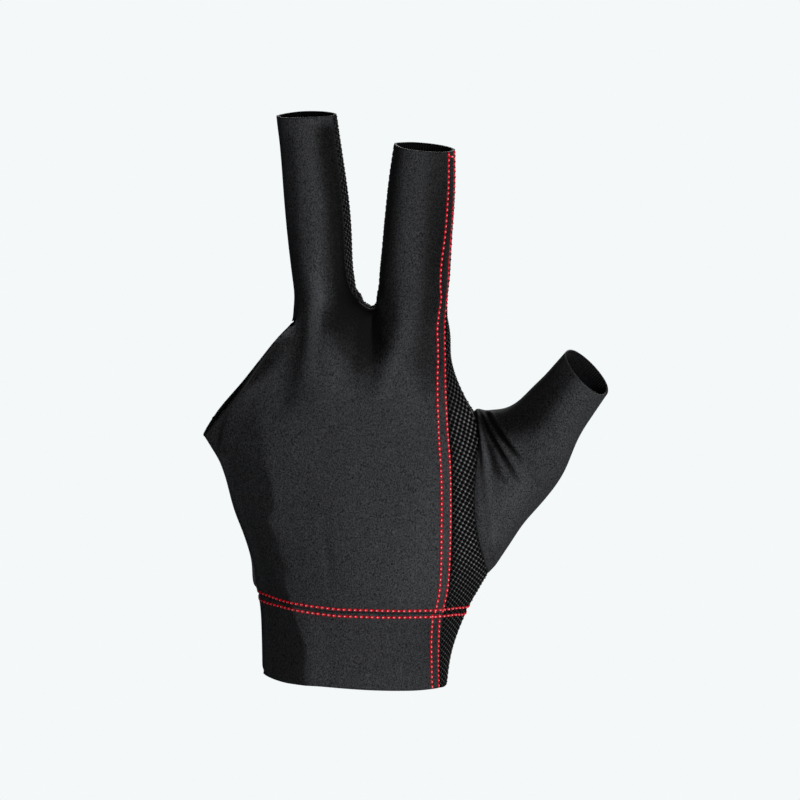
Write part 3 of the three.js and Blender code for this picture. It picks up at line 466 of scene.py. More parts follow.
def line_x(index, s, z):
    _, of, wrist, middle, top = LINES[index][:5]
    section = section_at(z)
    half_width = side_seam_x(z) if of == "seam" else section[of]
    t = max(s, 0)
    share = wrist * 2 * (t - 0.5) * (t - 1) + middle * 4 * t * (1 - t) + top * 2 * t * (t - 0.5)
    return share * half_width


class Cage:
    """Points of the glove's surface, and the quads between them. A point is x, y, z and how far
    it is below a mouth."""

    def __init__(self):
        self.points = []
        self.quads = []
        self.panels = []
        self.names = []

    def point(self, x, y, z, below_mouth=FAR_FROM_MOUTHS):
        self.points.append([x, y, z, below_mouth])
        return len(self.points) - 1

    def face(self, panel, *corners):
        if panel not in self.names:
            self.names.append(panel)
        self.quads.append(corners)
        self.panels.append(self.names.index(panel))

    def join(self, low, high, panel_of):
        for i in range(len(low)):
            j = (i + 1) % len(low)
            self.face(panel_of(i), low[i], high[i], high[j], low[j])


cage = Cage()


def is_knit(i):
    return SIDE_SEAM <= i < FAR_SEAM


def palm_point(index, k):
    side, _, _, _, _, height, press, fade = LINES[index]
    s = PALM_ROWS[k]
    z = CUFF_HEIGHT + height * PALM_HEIGHT * s
    x = line_x(index, s, z)
    if ARMHOLE_LOW <= k <= ARMHOLE_HIGH and index in (THUMB_EDGE, THUMB_SEAM_FRONT, THUMB_SEAM_BACK):
        edge = ARMHOLE[0] if k == ARMHOLE_LOW else ARMHOLE[-1]
        share, up = edge if index == THUMB_EDGE else ARMHOLE[k - ARMHOLE_LOW + 1]
        x = share * PALM_WIDTH / 2
        z = CUFF_HEIGHT + up * PALM_HEIGHT
    left = 1 + (press - 1) * smoothstep(s, fade, 1)
    tilt = CUFF_TILT * (1 - smoothstep(s, 0, TILT_FADE)) * x / (WRIST_WIDTH / 2)
    sag = CUFF_SAG * bell(x - CUFF_SAG_X, CUFF_SAG_REACH) * (1 - smoothstep(s, 0, TILT_FADE))
    return cage.point(x, depth_at(side, x, z) * left, z - tilt - sag * (side == "front"))


def cuff_point(index, s):
    z = s * CUFF_HEIGHT
    x = line_x(index, 0, z)
    return cage.point(x, depth_at(LINES[index][0], x, z), z - CUFF_TILT * x / (WRIST_WIDTH / 2))


def build_cuff_and_palm():
    count = len(LINES)
    cuff = [[cuff_point(i, s) for i in range(count)] for s in CUFF_ROWS]
    palm = []
    for k in range(len(PALM_ROWS)):
        in_armhole = ARMHOLE_LOW < k < ARMHOLE_HIGH
        row = [None if i == THUMB_EDGE and in_armhole else palm_point(i, k) for i in range(count)]
        palm.append(row)
    rings = [*cuff, palm[0]]
    for low, high in zip(rings, rings[1:]):
        cage.join(low, high, lambda i: "cuff_band_back" if is_knit(i) else "cuff_band_palm")
    for k in range(len(palm) - 1):
        for i in range(count):
            j = (i + 1) % count
            if THUMB_EDGE in (i, j) and ARMHOLE_LOW <= k < ARMHOLE_HIGH:
                continue
            panel = "back_panel" if is_knit(i) else "palm_panel"
            cage.face(panel, palm[k][i], palm[k + 1][i], palm[k + 1][j], palm[k][j])
    return cuff, palm


def side_bridge(x, z, web):
    front, back = WEBS[web]
    return [cage.point(x, -front * CROTCH_DEPTH, z), cage.point(x, back * CROTCH_DEPTH, z)]


def build_tube(base, finger, centre, panel_of):
    rows = finger["sections"]
    length = finger["length"]
    rings = [base]
    for up in finger["rows"]:
        row = read_table(rows, rows["up"], up)
        axis_x = centre + math.tan(math.radians(finger["lean"])) * up * length
        ring = []
        for angle in finger["angles"]:
            turned = math.radians(row[angle] if isinstance(angle, str) else angle)
            across = math.cos(turned)
            reach = (row["right"] if across > 0 else row["left"]) * finger["width"] / 2
            x = axis_x + reach * across
            y = -math.sin(turned) * row["deep"] * finger["depth"] / 2
            slope = finger["slope"] * (x - axis_x) * smoothstep(up, 0.5, 1)
            ring.append(cage.point(x, y, CROTCH_Z + up * length + slope, (1 - up) * length))
        cage.join(rings[-1], ring, panel_of)
        rings.append(ring)
    return rings


def build_fingers(palm):
    top = palm[-1]
    at = lambda i: cage.points[top[i]]
    crotch_x = (at(INDEX_WEB_FRONT)[0] + at(MIDDLE_WEB_FRONT)[0]) / 2
    index_side = side_bridge(crotch_x + CROTCH_WIDTH / 2, CROTCH_Z, "index")
    middle_side = side_bridge(crotch_x - CROTCH_WIDTH / 2, CROTCH_Z, "middle")
    far_top = at(MIDDLE_FAR_FRONT)
    far_side = side_bridge(far_top[0], far_top[2] + FAR_WEB_RISE, "far")
    cage.face("back_panel", top[MIDDLE_WEB_FRONT], top[INDEX_WEB_FRONT], index_side[0], middle_side[0])
    cage.face("palm_panel", middle_side[0], index_side[0], index_side[1], middle_side[1])
    cage.face("palm_panel", middle_side[1], index_side[1], top[INDEX_WEB_BACK], top[MIDDLE_WEB_BACK])

    index_base = [*top[: INDEX_WEB_FRONT + 1], *index_side, *top[INDEX_WEB_BACK:]]
    index_centre = (at(THUMB_EDGE)[0] + at(INDEX_WEB_FRONT)[0]) / 2
    knit = lambda i: SIDE_SEAM <= i <= INDEX_WEB_FRONT
    index = build_tube(
        index_base, INDEX, index_centre, lambda i: "back_panel" if knit(i) else "palm_panel"
    )
    middle_base = [
        *top[MIDDLE_WEB_FRONT : MIDDLE_FAR_FRONT + 1],
        *far_side,
        *top[MIDDLE_FAR_BACK : MIDDLE_WEB_BACK + 1],
        middle_side[1],
        middle_side[0],
    ]
    middle_centre = (at(MIDDLE_WEB_FRONT)[0] + at(MIDDLE_FAR_FRONT)[0]) / 2 + MIDDLE_SHIFT
    last = len(middle_base) - 1
    knit_end = MIDDLE_FAR_FRONT - MIDDLE_WEB_FRONT + 2
    middle = build_tube(
        middle_base,
        MIDDLE,
        middle_centre,
        lambda i: "back_panel" if i < knit_end or i == last else "palm_panel",
    )
    return index, middle


def build_thumb(palm):
    high_edge = palm[ARMHOLE_HIGH][THUMB_EDGE]
    low_edge = palm[ARMHOLE_LOW][THUMB_EDGE]
    front = [palm[k][THUMB_SEAM_FRONT] for k in range(ARMHOLE_HIGH, ARMHOLE_LOW - 1, -1)]
    back = [palm[k][THUMB_SEAM_BACK] for k in range(ARMHOLE_LOW, ARMHOLE_HIGH + 1)]
    rings = [[high_edge, *front, low_edge, *back]]
    high = np.array(cage.points[high_edge][:3])
    low = np.array(cage.points[low_edge][:3])
    armhole = np.linalg.norm(high - low)
    root = (high + low) / 2
    length = math.hypot(THUMB_REACH, THUMB_RISE)
    count = len(rings[0])
    for along in THUMB_ROWS:
        row = read_table(THUMB_SECTIONS, THUMB_SECTIONS["along"], along)
        half = (THUMB_WIDTH + (armhole - THUMB_WIDTH) * row["grow"]) / 2
        turn = math.radians(row["turn"])
        skew = THUMB_MOUTH_SKEW * smoothstep(along, 0.6, 1)
        ring = []
        for i in range(count):
            angle = i / count * math.tau
            across = math.cos(angle) * half
            deep = (row["front"] if angle < math.pi else row["back"]) * THUMB_DEPTH / 2
            y = -math.sin(angle) * deep
            x = root[0] + row["out"] * THUMB_REACH + math.cos(turn) * across + math.sin(turn) * skew * y
            z = root[2] + row["up"] * THUMB_RISE + math.sin(turn) * across - math.cos(turn) * skew * y
            y -= row["forward"] * THUMB_FORWARD
            ring.append(cage.point(x, y, z, (1 - along) * length))
        cage.join(ring, rings[-1], lambda i: "thumb_sleeve")
        rings.append(ring)
    return rings


def sides_of(quads):
    """The quads' sides, as directed pairs in the order of the faces."""
    return np.stack([quads, np.roll(quads, -1, axis=1)], axis=2).reshape(-1, 2)


def edges_of(quads):
    pairs = np.sort(sides_of(quads), axis=1)
    edges, which, uses = np.unique(pairs, axis=0, return_inverse=True, return_counts=True)
    return edges, which.reshape(-1, 4), uses


def add_up(count, where, values):
    out = np.zeros((count, values.shape[1]))
    np.add.at(out, where, values)
    return out


def sum_beside(points, edges):
    """For each point, the sum of the points at the other ends of its edges."""
    count = len(points)
    sums = add_up(count, edges[:, 0], points[edges[:, 1]])
    return sums + add_up(count, edges[:, 1], points[edges[:, 0]])


def limit(points, quads):
    """Where Catmull-Clark subdivision carries each point in the end."""
    edges, _, uses = edges_of(quads)
    valence = np.bincount(edges.ravel(), minlength=len(points))[:, None]
    across = np.zeros_like(points)
    for c in range(4):
        np.add.at(across, quads[:, c], points[quads[:, (c + 2) % 4]])
    total = valence**2 * points + 4 * sum_beside(points, edges) + across
    inside = total / (valence * (valence + 5))
    rim = edges[uses == 1]
    on_rim = np.unique(rim)
    inside[on_rim] = (sum_beside(points, rim)[on_rim] + 4 * points[on_rim]) / 6
    return inside


def subdivide(points, quads, panels):
    """One step of Catmull-Clark subdivision, with open edges kept as smooth curves."""
    count = len(points)
    edges, which, uses = edges_of(quads)
    centres = points[quads].mean(1)
    middles = points[edges].mean(1)
    centre_sum = add_up(len(edges), which.ravel(), np.repeat(centres, 4, axis=0))
    edge_points = np.where((uses == 2)[:, None], (middles * 2 + centre_sum) / 4, middles)
    valence = np.bincount(edges.ravel(), minlength=count)[:, None]
    faces_round = np.bincount(quads.ravel(), minlength=count)[:, None]
    f = add_up(count, quads.ravel(), np.repeat(centres, 4, axis=0)) / faces_round
    r = add_up(count, edges.ravel(), np.repeat(middles, 2, axis=0)) / valence
    moved = (f + 2 * r + (valence - 3) * points) / valence
    rim = edges[uses == 1]
    on_rim = np.unique(rim)
    moved[on_rim] = (sum_beside(points, rim)[on_rim] + 6 * points[on_rim]) / 8
    fine = np.concatenate([moved, edge_points, centres])
    centre_ids = count + len(edges) + np.arange(len(quads))
    parts = []
    for c in range(4):
        after = count + which[:, c]
        before = count + which[:, (c + 3) % 4]
        parts.append(np.stack([quads[:, c], after, centre_ids, before], 1))
    return fine, np.concatenate(parts), np.tile(panels, 4)


def normals_of(points, quads):
    corners = points[quads]
    normal = np.cross(corners[:, 2] - corners[:, 0], corners[:, 3] - corners[:, 1])
    return unit(add_up(len(points), quads.ravel(), np.repeat(normal, 4, axis=0)))


def directed_rim(quads):
    """A panel's own open edges, as directed pairs in the order of its faces."""
    pairs = sides_of(quads)
    known = set(map(tuple, pairs))
    return [(int(a), int(b)) for a, b in pairs if (b, a) not in known]


def loops_of(pairs):
    """Directed edges joined into closed loops of points."""
    after = dict(pairs)
    loops = []
    while after:
        start = next(iter(after))
        loop = [start]
        i = after.pop(start)
        while i != start:
            loop.append(i)
            i = after.pop(i)
        loops.append(loop)
    return loops


# The glove's surface
cuff_rings, palm_rings = build_cuff_and_palm()
index_rings, middle_rings = build_fingers(palm_rings)
thumb_rings = build_thumb(palm_rings)

targets = np.array(cage.points)
quads = np.array(cage.quads)
panels = np.array(cage.panels)
points = targets.copy()
for _ in range(FIT_ROUNDS):
    points = points + targets - limit(points, quads)
for _ in range(LEVELS):
    coarse_quads, coarse_panels = quads, panels
    points, quads, panels = subdivide(points, quads, panels)
points = limit(points, quads)
surface = points[:, :3].copy()
hem = 1 - smoothstep(points[:, 3], HEM_WIDTH, HEM_WIDTH + HEM_STEP)
normals = normals_of(surface, quads)
panel_ids = {name: i for i, name in enumerate(cage.names)}
owners = [set() for _ in surface]
for panel, corners in zip(panels, quads):
    for i in corners:
        owners[i].add(int(panel))
seam_points = np.array([len(o) > 1 for o in owners])


def places_in_cloth(p):
    """How far each place is round the glove and up it: round from the thumb's edge, over the palm
    as a growing number and over the back as a falling one."""
    x, y, z = p.T
    edge = np.interp(z, THUMB_SIDE["z"], THUMB_SIDE["x"])
    behind_share = smoothstep(normals[:, 1], -0.4, 0.4)
    round_palm = (x - edge) * (1 - 2 * behind_share) + ROUND_EDGE * y
    round_tube = np.zeros(len(p))
    for finger, rings, chosen in (
        (INDEX, index_rings, x > CROTCH_X),
        (MIDDLE, middle_rings, x <= CROTCH_X),
    ):
        radius = (finger["width"] + finger["depth"]) / 4
        ends = (rings[1], rings[-1])
        low, high = (np.array([cage.points[i] for i in ring]).mean(0) for ring in ends)
        axis = np.interp(z, [low[2], high[2]], [low[0], high[0]])
        turn = (np.degrees(np.arctan2(y, x - axis)) + 90) % 360 - 180
        behind = edge - axis + ROUND_EDGE * radius + np.radians(turn) * radius
        round_tube[chosen] = behind[chosen]
    share = smoothstep(z, CROTCH_Z - 12, CROTCH_Z + 4)
    return round_palm + (round_tube - round_palm) * share, z


def distance_to(chosen):
    """Distance of every surface point from the nearest chosen one."""
    ids = np.flatnonzero(chosen)
    tree = KDTree(len(ids))
    for i in ids:
        tree.insert(surface[i], int(i))
    tree.balance()
    return np.array([tree.find(p)[2] for p in surface])


# Open edges: the wrist, three mouths and the slanted opening
rim_pairs = directed_rim(quads)
rim_loops = loops_of(rim_pairs)
far_edge_point = palm_rings[-1][FAR_EDGE]
slant_loop = next(loop for loop in rim_loops if far_edge_point in loop)
on_slant = set(slant_loop)
open_points = {i for pair in rim_pairs for i in pair}
mouth_loops = [
    next(loop for loop in rim_loops if rings[-1][0] in loop)
    for rings in (index_rings, middle_rings, thumb_rings)
]
open_mask = np.isin(np.arange(len(surface)), list(open_points))


# Relief
def along_line(p, line):
    """How far places are from a line in x and z, and where along it, from 0 to 1."""
    line = np.array(line)[:, :2]
    flat = p[:, [0, 2]]
    away = np.full(len(p), 1e9)
    at = np.zeros(len(p))
    for k in range(len(line) - 1):
        step = line[k + 1] - line[k]
        share = np.clip((flat - line[k]) @ step / (step @ step), 0, 1)
        gap = np.linalg.norm(flat - line[k] - share[:, None] * step, axis=1)
        nearer = gap < away
        away[nearer] = gap[nearer]
        at[nearer] = (k + share[nearer]) / (len(line) - 1)
    return away, at


def pressed_in(p, lines):
    depth = np.zeros(len(p))
    for line, width, deep in lines:
        away, at = along_line(p, line)
        taper = np.sin(np.pi * np.clip(0.12 + at * 0.88, 0, 1)) ** 0.7
        depth += deep * taper * bell(away, width)
    return depth


# How much painted shade each place takes from the lines; below zero where light is painted.
def painted_shading_share(p):
    unshaded = np.ones(len(p))
    for line in PAINTED_SHADING:
        away, at = along_line(p, line)
        stops = np.linspace(0, 1, len(line))
        width, share = (np.interp(at, stops, [point[c] for point in line]) for c in (2, 3))
        unshaded *= 1 - share * np.exp(-((away / width) ** 3))
    return 1 - unshaded


def facet_line_at(p):
    z = p[:, 2] + CUFF_TILT * (1 - smoothstep(p[:, 2], 27, 52)) * p[:, 0] / (WRIST_WIDTH / 2)
    return z, np.interp(z, FACET["z"], FACET["x"])


def turn_edge_away(p):
    """Flattens the front of the little-finger side from the facet's line to the edge."""
    line_at = np.interp(FACET_LEVELS, FACET["z"], FACET["x"])
    edge_at = [section_at(z)["left"] for z in FACET_LEVELS]
    front_at = [depth_at("front", x, z) for x, z in zip(line_at, FACET_LEVELS)]
    z, line = facet_line_at(p)
    edge, front = (np.interp(z, FACET_LEVELS, a) for a in (edge_at, front_at))
    t = np.clip((line - p[:, 0]) / (line - edge), 0, 1)
    chord = front * (1 - t) ** FACET_ROUND
    fade = FACET_SHARE * (1 - smoothstep(z, *FACET_FADE)) * (p[:, 1] < 0) * (t > 0) * (p[:, 1] < chord)
    return (chord - p[:, 1]) * fade


def pull(p):
    for k in range(len(PULLS["x"])):
        at = {name: values[k] for name, values in PULLS.items()}
        near = bell(p[:, 0] - at["x"], at["reach_x"]) * bell(p[:, 2] - at["z"], at["reach_z"])
        p[:, 0] += at["dx"] * near
        p[:, 2] += at["dz"] * near


def tip_mouths(p, below):
    """Tips the finger mouths towards the viewer and draws out the far lip of the thumb's."""
    near_mouth = 1 - smoothstep(below, 0, MOUTH_REACH)
    forward = -p[:, 1] / TUBE_HALF_DEPTH
    finger = near_mouth * (p[:, 2] > FINGER_TIPS_FROM)
    index = finger * (p[:, 0] > BETWEEN_TUBES)
    middle = finger * (p[:, 0] <= BETWEEN_TUBES)
    thumb = near_mouth * (p[:, 0] > THUMB_TIP_FROM)
    p[:, 2] -= index * (0.5 + 0.65 * forward) + middle * (0.15 + 0.35 * forward)
    drawn = 0.6 * thumb * smoothstep(p[:, 1], -14, -3)
    p[:, 0] += drawn
    p[:, 2] += drawn


pull(surface)
tip_mouths(surface, points[:, 3])
front_facing = smoothstep(-normals[:, 1], 0.0, 0.35)
# Painted shade, and painted light where a share is negative, over the front's knit.
painted_shading = painted_shading_share(surface)
# Beyond the facet's line the front takes painted shade, as well as the turn in its shape.
beyond, facet_at = facet_line_at(surface)
softness = np.interp(beyond, FACET["z"], FACET["soft"])
turned = smoothstep((facet_at - surface[:, 0]) / softness, -1, 1)
turned *= 1 - smoothstep(beyond, *FACET_SHADE_FADE)
painted_shading = (1 - (1 - painted_shading) * (1 - FACET_PAINTED_SHADE * turned)) * front_facing
surface[:, 1] += turn_edge_away(surface)
normals = normals_of(surface, quads)
surface -= normals * (pressed_in(surface, HOLLOWS) * front_facing)[:, None]
normals = normals_of(surface, quads)
relief = -pressed_in(surface, FOLDS) * front_facing
near_seam = distance_to(seam_points)
near_edge = np.minimum(near_seam, distance_to(open_mask) - BINDING_WIDTH / 3)
relief -= SEAM_GROOVE * bell(near_seam, SEAM_REACH)
surface += normals * relief[:, None]
normals = normals_of(surface, quads)
around, upward = places_in_cloth(surface)
cloth_round = around + upward * COLUMN_LEAN
cloth_up = upward - around * ROW_RISE

# Lines over the surface
surface_tree = BVHTree.FromPolygons(surface.tolist(), quads.tolist())


def on_surface(place):
    """The surface's nearest point, and its normal there."""
    spot, _, face, _ = surface_tree.find_nearest(Vector(place))
    corners = quads[face]
    near = 1 / (np.linalg.norm(surface[corners] - np.array(spot), axis=1) + 0.05)
    return np.array(spot), unit((normals[corners] * near[:, None]).sum(0))


def march(place, direction, distance):
    """The point a distance away over the surface, setting out in a direction."""
    spot, normal = on_surface(place)
    steps = max(math.ceil(abs(distance) / MARCH_STEP), 1)
    for _ in range(steps):
        direction = square_to(direction, normal)
        spot, normal = on_surface(spot + direction * distance / steps)
    return spot


def seam_path(a, b, through):
    """The line between two panels that holds a point, as places in the order of a's faces."""
    own, other = (sides_of(quads[panels == panel_ids[name]]) for name in (a, b))
    theirs = set(map(tuple, other))
    after = {int(i): int(j) for i, j in own if (j, i) in theirs}
    before = {j: i for i, j in after.items()}
    start = through
    while start in before and before[start] != through:
        start = before[start]
    run = [start]
    while run[-1] in after and after[run[-1]] != start:
        run.append(after[run[-1]])
    if run[-1] in after:
        run.append(start)
    return surface[run]


def resampled(path, pitch):
    """Places along a path, evenly spaced by nearly the pitch."""
    path = np.asarray(path)
    lengths = np.linalg.norm(np.diff(path, axis=0), axis=1)
    along = np.concatenate([[0], np.cumsum(lengths)])
    count = max(int(round(along[-1] / pitch)), 1)
    at = np.linspace(0, along[-1], count + 1)
    return np.stack([np.interp(at, along, path[:, c]) for c in range(3)], 1)


def beside(path, distance):
    """A path moved over the surface to its right by a distance, or by one that each place gives."""
    moved = []
    for k, place in enumerate(path):
        along = path[min(k + 1, len(path) - 1)] - path[max(k - 1, 0)]
        _, normal = on_surface(place)
        right = np.cross(along, normal)
        away = distance(place) if callable(distance) else distance
        moved.append(march(place, right * np.sign(away), abs(away)) if away else place)
    return np.array(moved)


# Making meshes
def to_metres(p):
    return np.asarray(p, float) * 0.001


def add_object(name, verts, faces, shaders, replaced=None, marks=None):
    mesh = bpy.data.meshes.new(name)
    mesh.from_pydata(to_metres(verts).tolist(), [], [tuple(map(int, f)) for f in faces])
    mesh.shade_smooth()
    for shader in shaders:
        mesh.materials.append(shader.material)
    if marks is not None:
        mesh.polygons.foreach_set("material_index", marks)
    obj = bpy.data.objects.new(name, mesh)
    bpy.context.scene.collection.objects.link(obj)
    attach(obj, "root")
    if replaced:
        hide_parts(replaced)
    return obj


def add_attribute(obj, name, values):
    layer = obj.data.attributes.new(name, "FLOAT", "POINT")
    layer.data.foreach_set("value", np.asarray(values, np.float32))


def inset_rim(panel_quads, inset):
    """Places of a panel's edge points, moved into the panel along the surface."""
    shifts = {}
    for a, b in directed_rim(panel_quads):
        distance = inset(a, b)
        for i in (a, b):
            inward = unit(np.cross(normals[i], surface[b] - surface[a]))
            shifts.setdefault(i, []).append((inward, distance))
    moved = {}
    for i, pair in shifts.items():
        (p, dp), (q, dq) = pair[0], pair[-1]
        cosine = float(p @ q)
        sharp = 1 - cosine * cosine
        if sharp < 0.2:
            shift = unit(p + q) * max(dp, dq)
        else:
            shift = p * (dp - cosine * dq) / sharp + q * (dq - cosine * dp) / sharp
        moved[i] = surface[i] + shift
    return moved


def panel_shell(name, wall):
    """A cloth panel as a closed shell: its outer face, its inner face, half as fine, and its edges."""
    chosen = quads[panels == panel_ids[name]]
    coarse = coarse_quads[coarse_panels == panel_ids[name]]

    def inset(a, b):
        if a in on_slant and b in on_slant:
            return BINDING_WIDTH * 0.6
        return 0.0 if a in open_points and b in open_points else SEAM_INSET

    ids = np.unique(chosen)
    outer = surface[ids].copy()
    where = {int(i): k for k, i in enumerate(ids)}
    for i, place in inset_rim(chosen, inset).items():
        outer[where[i]] = place
    inner_ids = np.unique(coarse)
    thick = wall + (HEM_WALL - wall) * hem[inner_ids]
    inner = outer[np.searchsorted(ids, inner_ids)] - normals[inner_ids] * thick[:, None]
    below = {int(i): len(ids) + k for k, i in enumerate(inner_ids)}
    faces = np.searchsorted(ids, chosen).tolist()
    marks = [0] * len(faces)
    faces += (np.searchsorted(inner_ids, coarse)[:, ::-1] + len(ids)).tolist()
    # The inner face takes slot 1, which is painted shade.
    marks += [1] * len(coarse)
    after = dict(directed_rim(chosen))
    for a, b in directed_rim(coarse):
        faces.append((where[b], where[after[a]], where[a], below[a], below[b]))
        marks.append(2)
    return np.concatenate([outer, inner]), faces, np.concatenate([ids, inner_ids]), marks


class Shader:
    """A material and the nodes behind its sockets."""

    def __init__(self, name, color, roughness, specular=0.5, sheen=0.0, sheen_roughness=0.4):
        self.material = bpy.data.materials.new(name)
        self.material.use_nodes = True
        self.tree = self.material.node_tree
        self.bsdf = self.tree.nodes["Principled BSDF"]
        self.put("Base Color", (*color, 1))
        self.put("Roughness", roughness)
        self.put("Specular IOR Level", specular)
        self.put("Sheen Weight", sheen)
        self.put("Sheen Roughness", sheen_roughness)

    def put(self, socket, value):
        self.bsdf.inputs[socket].default_value = value

    def node(self, kind, **settings):
        made = self.tree.nodes.new(kind)
        for key, value in settings.items():
            if key in made.inputs:
                made.inputs[key].default_value = value
            else:
                setattr(made, key, value)
        return made

    def link(self, out, into):
        self.tree.links.new(out, into)

    def noise(self, scale, stretch=(1, 1, 1), detail=2.0):
        place = self.node("ShaderNodeTexCoord")
        mapping = self.node("ShaderNodeMapping")
        mapping.inputs["Scale"].default_value = stretch
        self.link(place.outputs["Object"], mapping.inputs["Vector"])
        noise = self.node("ShaderNodeTexNoise", Scale=scale, Detail=detail)
        self.link(mapping.outputs["Vector"], noise.inputs["Vector"])
        return noise.outputs["Fac"]

    def tint(self, factor, dark, light, low=0.3, high=0.7):
        ramp = self.node("ShaderNodeValToRGB")
        ramp.color_ramp.elements[0].position = low
        ramp.color_ramp.elements[0].color = (*dark, 1)
        ramp.color_ramp.elements[1].position = high
        ramp.color_ramp.elements[1].color = (*light, 1)
        self.link(factor, ramp.inputs["Fac"])
        self.link(ramp.outputs["Color"], self.bsdf.inputs["Base Color"])

    def attribute(self, name):
        return self.node("ShaderNodeAttribute", attribute_name=name).outputs["Fac"]

    def math(self, operation, a, b):
        made = self.node("ShaderNodeMath", operation=operation)
        for socket, value in zip(made.inputs, (a, b)):
            if isinstance(value, (int, float)):
                socket.default_value = value
            else:
                self.link(value, socket)
        return made.outputs[0]

    def strands(self, across, up, dark, light):
        """Threads that run aslant between the knots, with dark holes between them."""
        u = self.attribute("cloth_round")
        v = self.attribute("cloth_up")
        u = self.math("DIVIDE", u, across)
        v = self.math("DIVIDE", v, 2 * up)
        falling = self.math("PINGPONG", self.math("ADD", u, v), 0.5)
        rising = self.math("PINGPONG", self.math("SUBTRACT", u, v), 0.5)
        nearest = self.math("MINIMUM", falling, rising)
        self.tint(nearest, light, dark, 0.03, 0.15)

    def paint_thread_light(self, ends, body, painted_highlight):
        """A thread's colour with painted light: painted shade at its two ends, where it dips in, its
        own colour between, and a painted highlight on top of its middle.
        """
        self.tint(self.attribute("painted_highlight"), ends, painted_highlight, 0.0, 1.0)
        ramp = next(n for n in self.tree.nodes if n.type == "VALTORGB").color_ramp
        for position in (0.5, 0.86):
            ramp.elements.new(position).color = (*body, 1)

    def bump(self, height, distance):
        bump = self.node("ShaderNodeBump", Strength=1.0, Distance=distance)
        self.link(height, bump.inputs["Height"])
        self.link(bump.outputs["Normal"], self.bsdf.inputs["Normal"])


knit = Shader("stretch_knit", (0.028, 0.029, 0.031), 0.68, 0.08, 0.02, 0.5)
# The knit's fine noise, darkened by the painted shade and lightened by the painted light.
unshaded = knit.math("SUBTRACT", 1.0, knit.attribute("painted_shading"))
shaded_grain = knit.math("MULTIPLY", knit.noise(2500, (1, 1, 0.8), 0.0), unshaded)
knit.tint(shaded_grain, (0, 0, 0), (0.0655, 0.0672, 0.072), 0.1, 0.9)
knit.bump(knit.noise(1500, (1, 1, 0.6)), 0.00014)

# Painted shade: the inside of every panel, seen within the mouths, is painted far darker than the knit.
inside_shade = Shader("knit_inside_painted_shade", (0.004, 0.004, 0.0045), 0.9, 0.05)
inside_shade.tint(inside_shade.noise(1800), (0.0015, 0.0015, 0.002), (0.007, 0.007, 0.008))

netting = Shader("mesh_knit", (0.003, 0.003, 0.0035), 0.85, 0.05)
netting.strands(KNOT_ACROSS, KNOT_UP, (0.0006, 0.0006, 0.0006), (0.028, 0.028, 0.029))

knots = Shader("mesh_knots", (0.1, 0.1, 0.103), 0.35)
# The knots' brightness: random tone times the stretch value, which paints their highlight brighter or
# dimmer.
uneven_glint = knots.math("MULTIPLY", knots.noise(500), knots.attribute("stretch"))
knots.tint(uneven_glint, (0, 0, 0), (0.26, 0.26, 0.268), 0, 1)

thread = Shader("black_thread", (0.008, 0.008, 0.009), 0.6, 0.15)
thread.tint(thread.noise(2500), (0.005, 0.005, 0.006), (0.014, 0.014, 0.015))

# The red thread: painted shade at the ends, its own red in the body, a painted highlight on top.
red = Shader("red_thread", (0.5, 0.003, 0.03), 0.4, 0.25)
red.paint_thread_light((0.2, 0.0001, 0.002), (0.62, 0.0004, 0.012), (1, 0.66, 0.7))
red.bump(red.noise(3000, (1, 1, 0.4)), 0.00006)

# Each panel: its wall, its cloth and slot, the size it was cut to before it was sewn and stretched
# over the hand, in metres and square metres, and what is sewn on it
PANELS = {
    "back_panel": (KNIT_WALL, knit, "knit", (0.105, 0.17), 0.01045, "red_seam_stitches red_bar_tack"),
    "palm_panel": (
        MESH_WALL, netting, "mesh", (0.1, 0.176), 0.01177, "palm_mesh_knots black_seam_stitches"
    ),
    "thumb_sleeve": (KNIT_WALL, knit, "knit", (0.125, 0.062), 0.00461, ""),
    "cuff_band_back": (CUFF_WALL, knit, "knit", (0.071, 0.027), 0.00179, ""),
    "cuff_band_palm": (CUFF_WALL, netting, "mesh", (0.085, 0.027), 0.00213, "cuff_mesh_knots"),
}
for node, (wall, cloth, slot, *_) in PANELS.items():
    verts, faces, ids, marks = panel_shell(node, wall)
    shell = add_object(f"{node}_cloth", verts, faces, [cloth, inside_shade, thread], node, marks)
    # Each panel carries the painted shade as an attribute, beside its places in the cloth.
    for name, values in (("cloth_round", cloth_round), ("cloth_up", cloth_up), ("painted_shading", painted_shading)):
        add_attribute(shell, name, values[ids])


# Sewing
def tube_faces(rings, sides, closed=False):
    """The faces between a tube's rings of points, and its two caps unless it closes on itself."""
    faces = []
    for r in range(rings if closed else rings - 1):
        after = (r + 1) % rings
        for k in range(sides):
            j = (k + 1) % sides
            faces.append((r * sides + k, r * sides + j, after * sides + j, after * sides + k))
    if closed:
        return faces
    last = (rings - 1) * sides
    return [*faces, tuple(range(sides))[::-1], tuple(last + k for k in range(sides))]


def repeated(faces, count, size):
    """The faces of many like pieces, each with so many points."""
    return [tuple(i + n * size for i in face) for n in range(count) for face in faces]


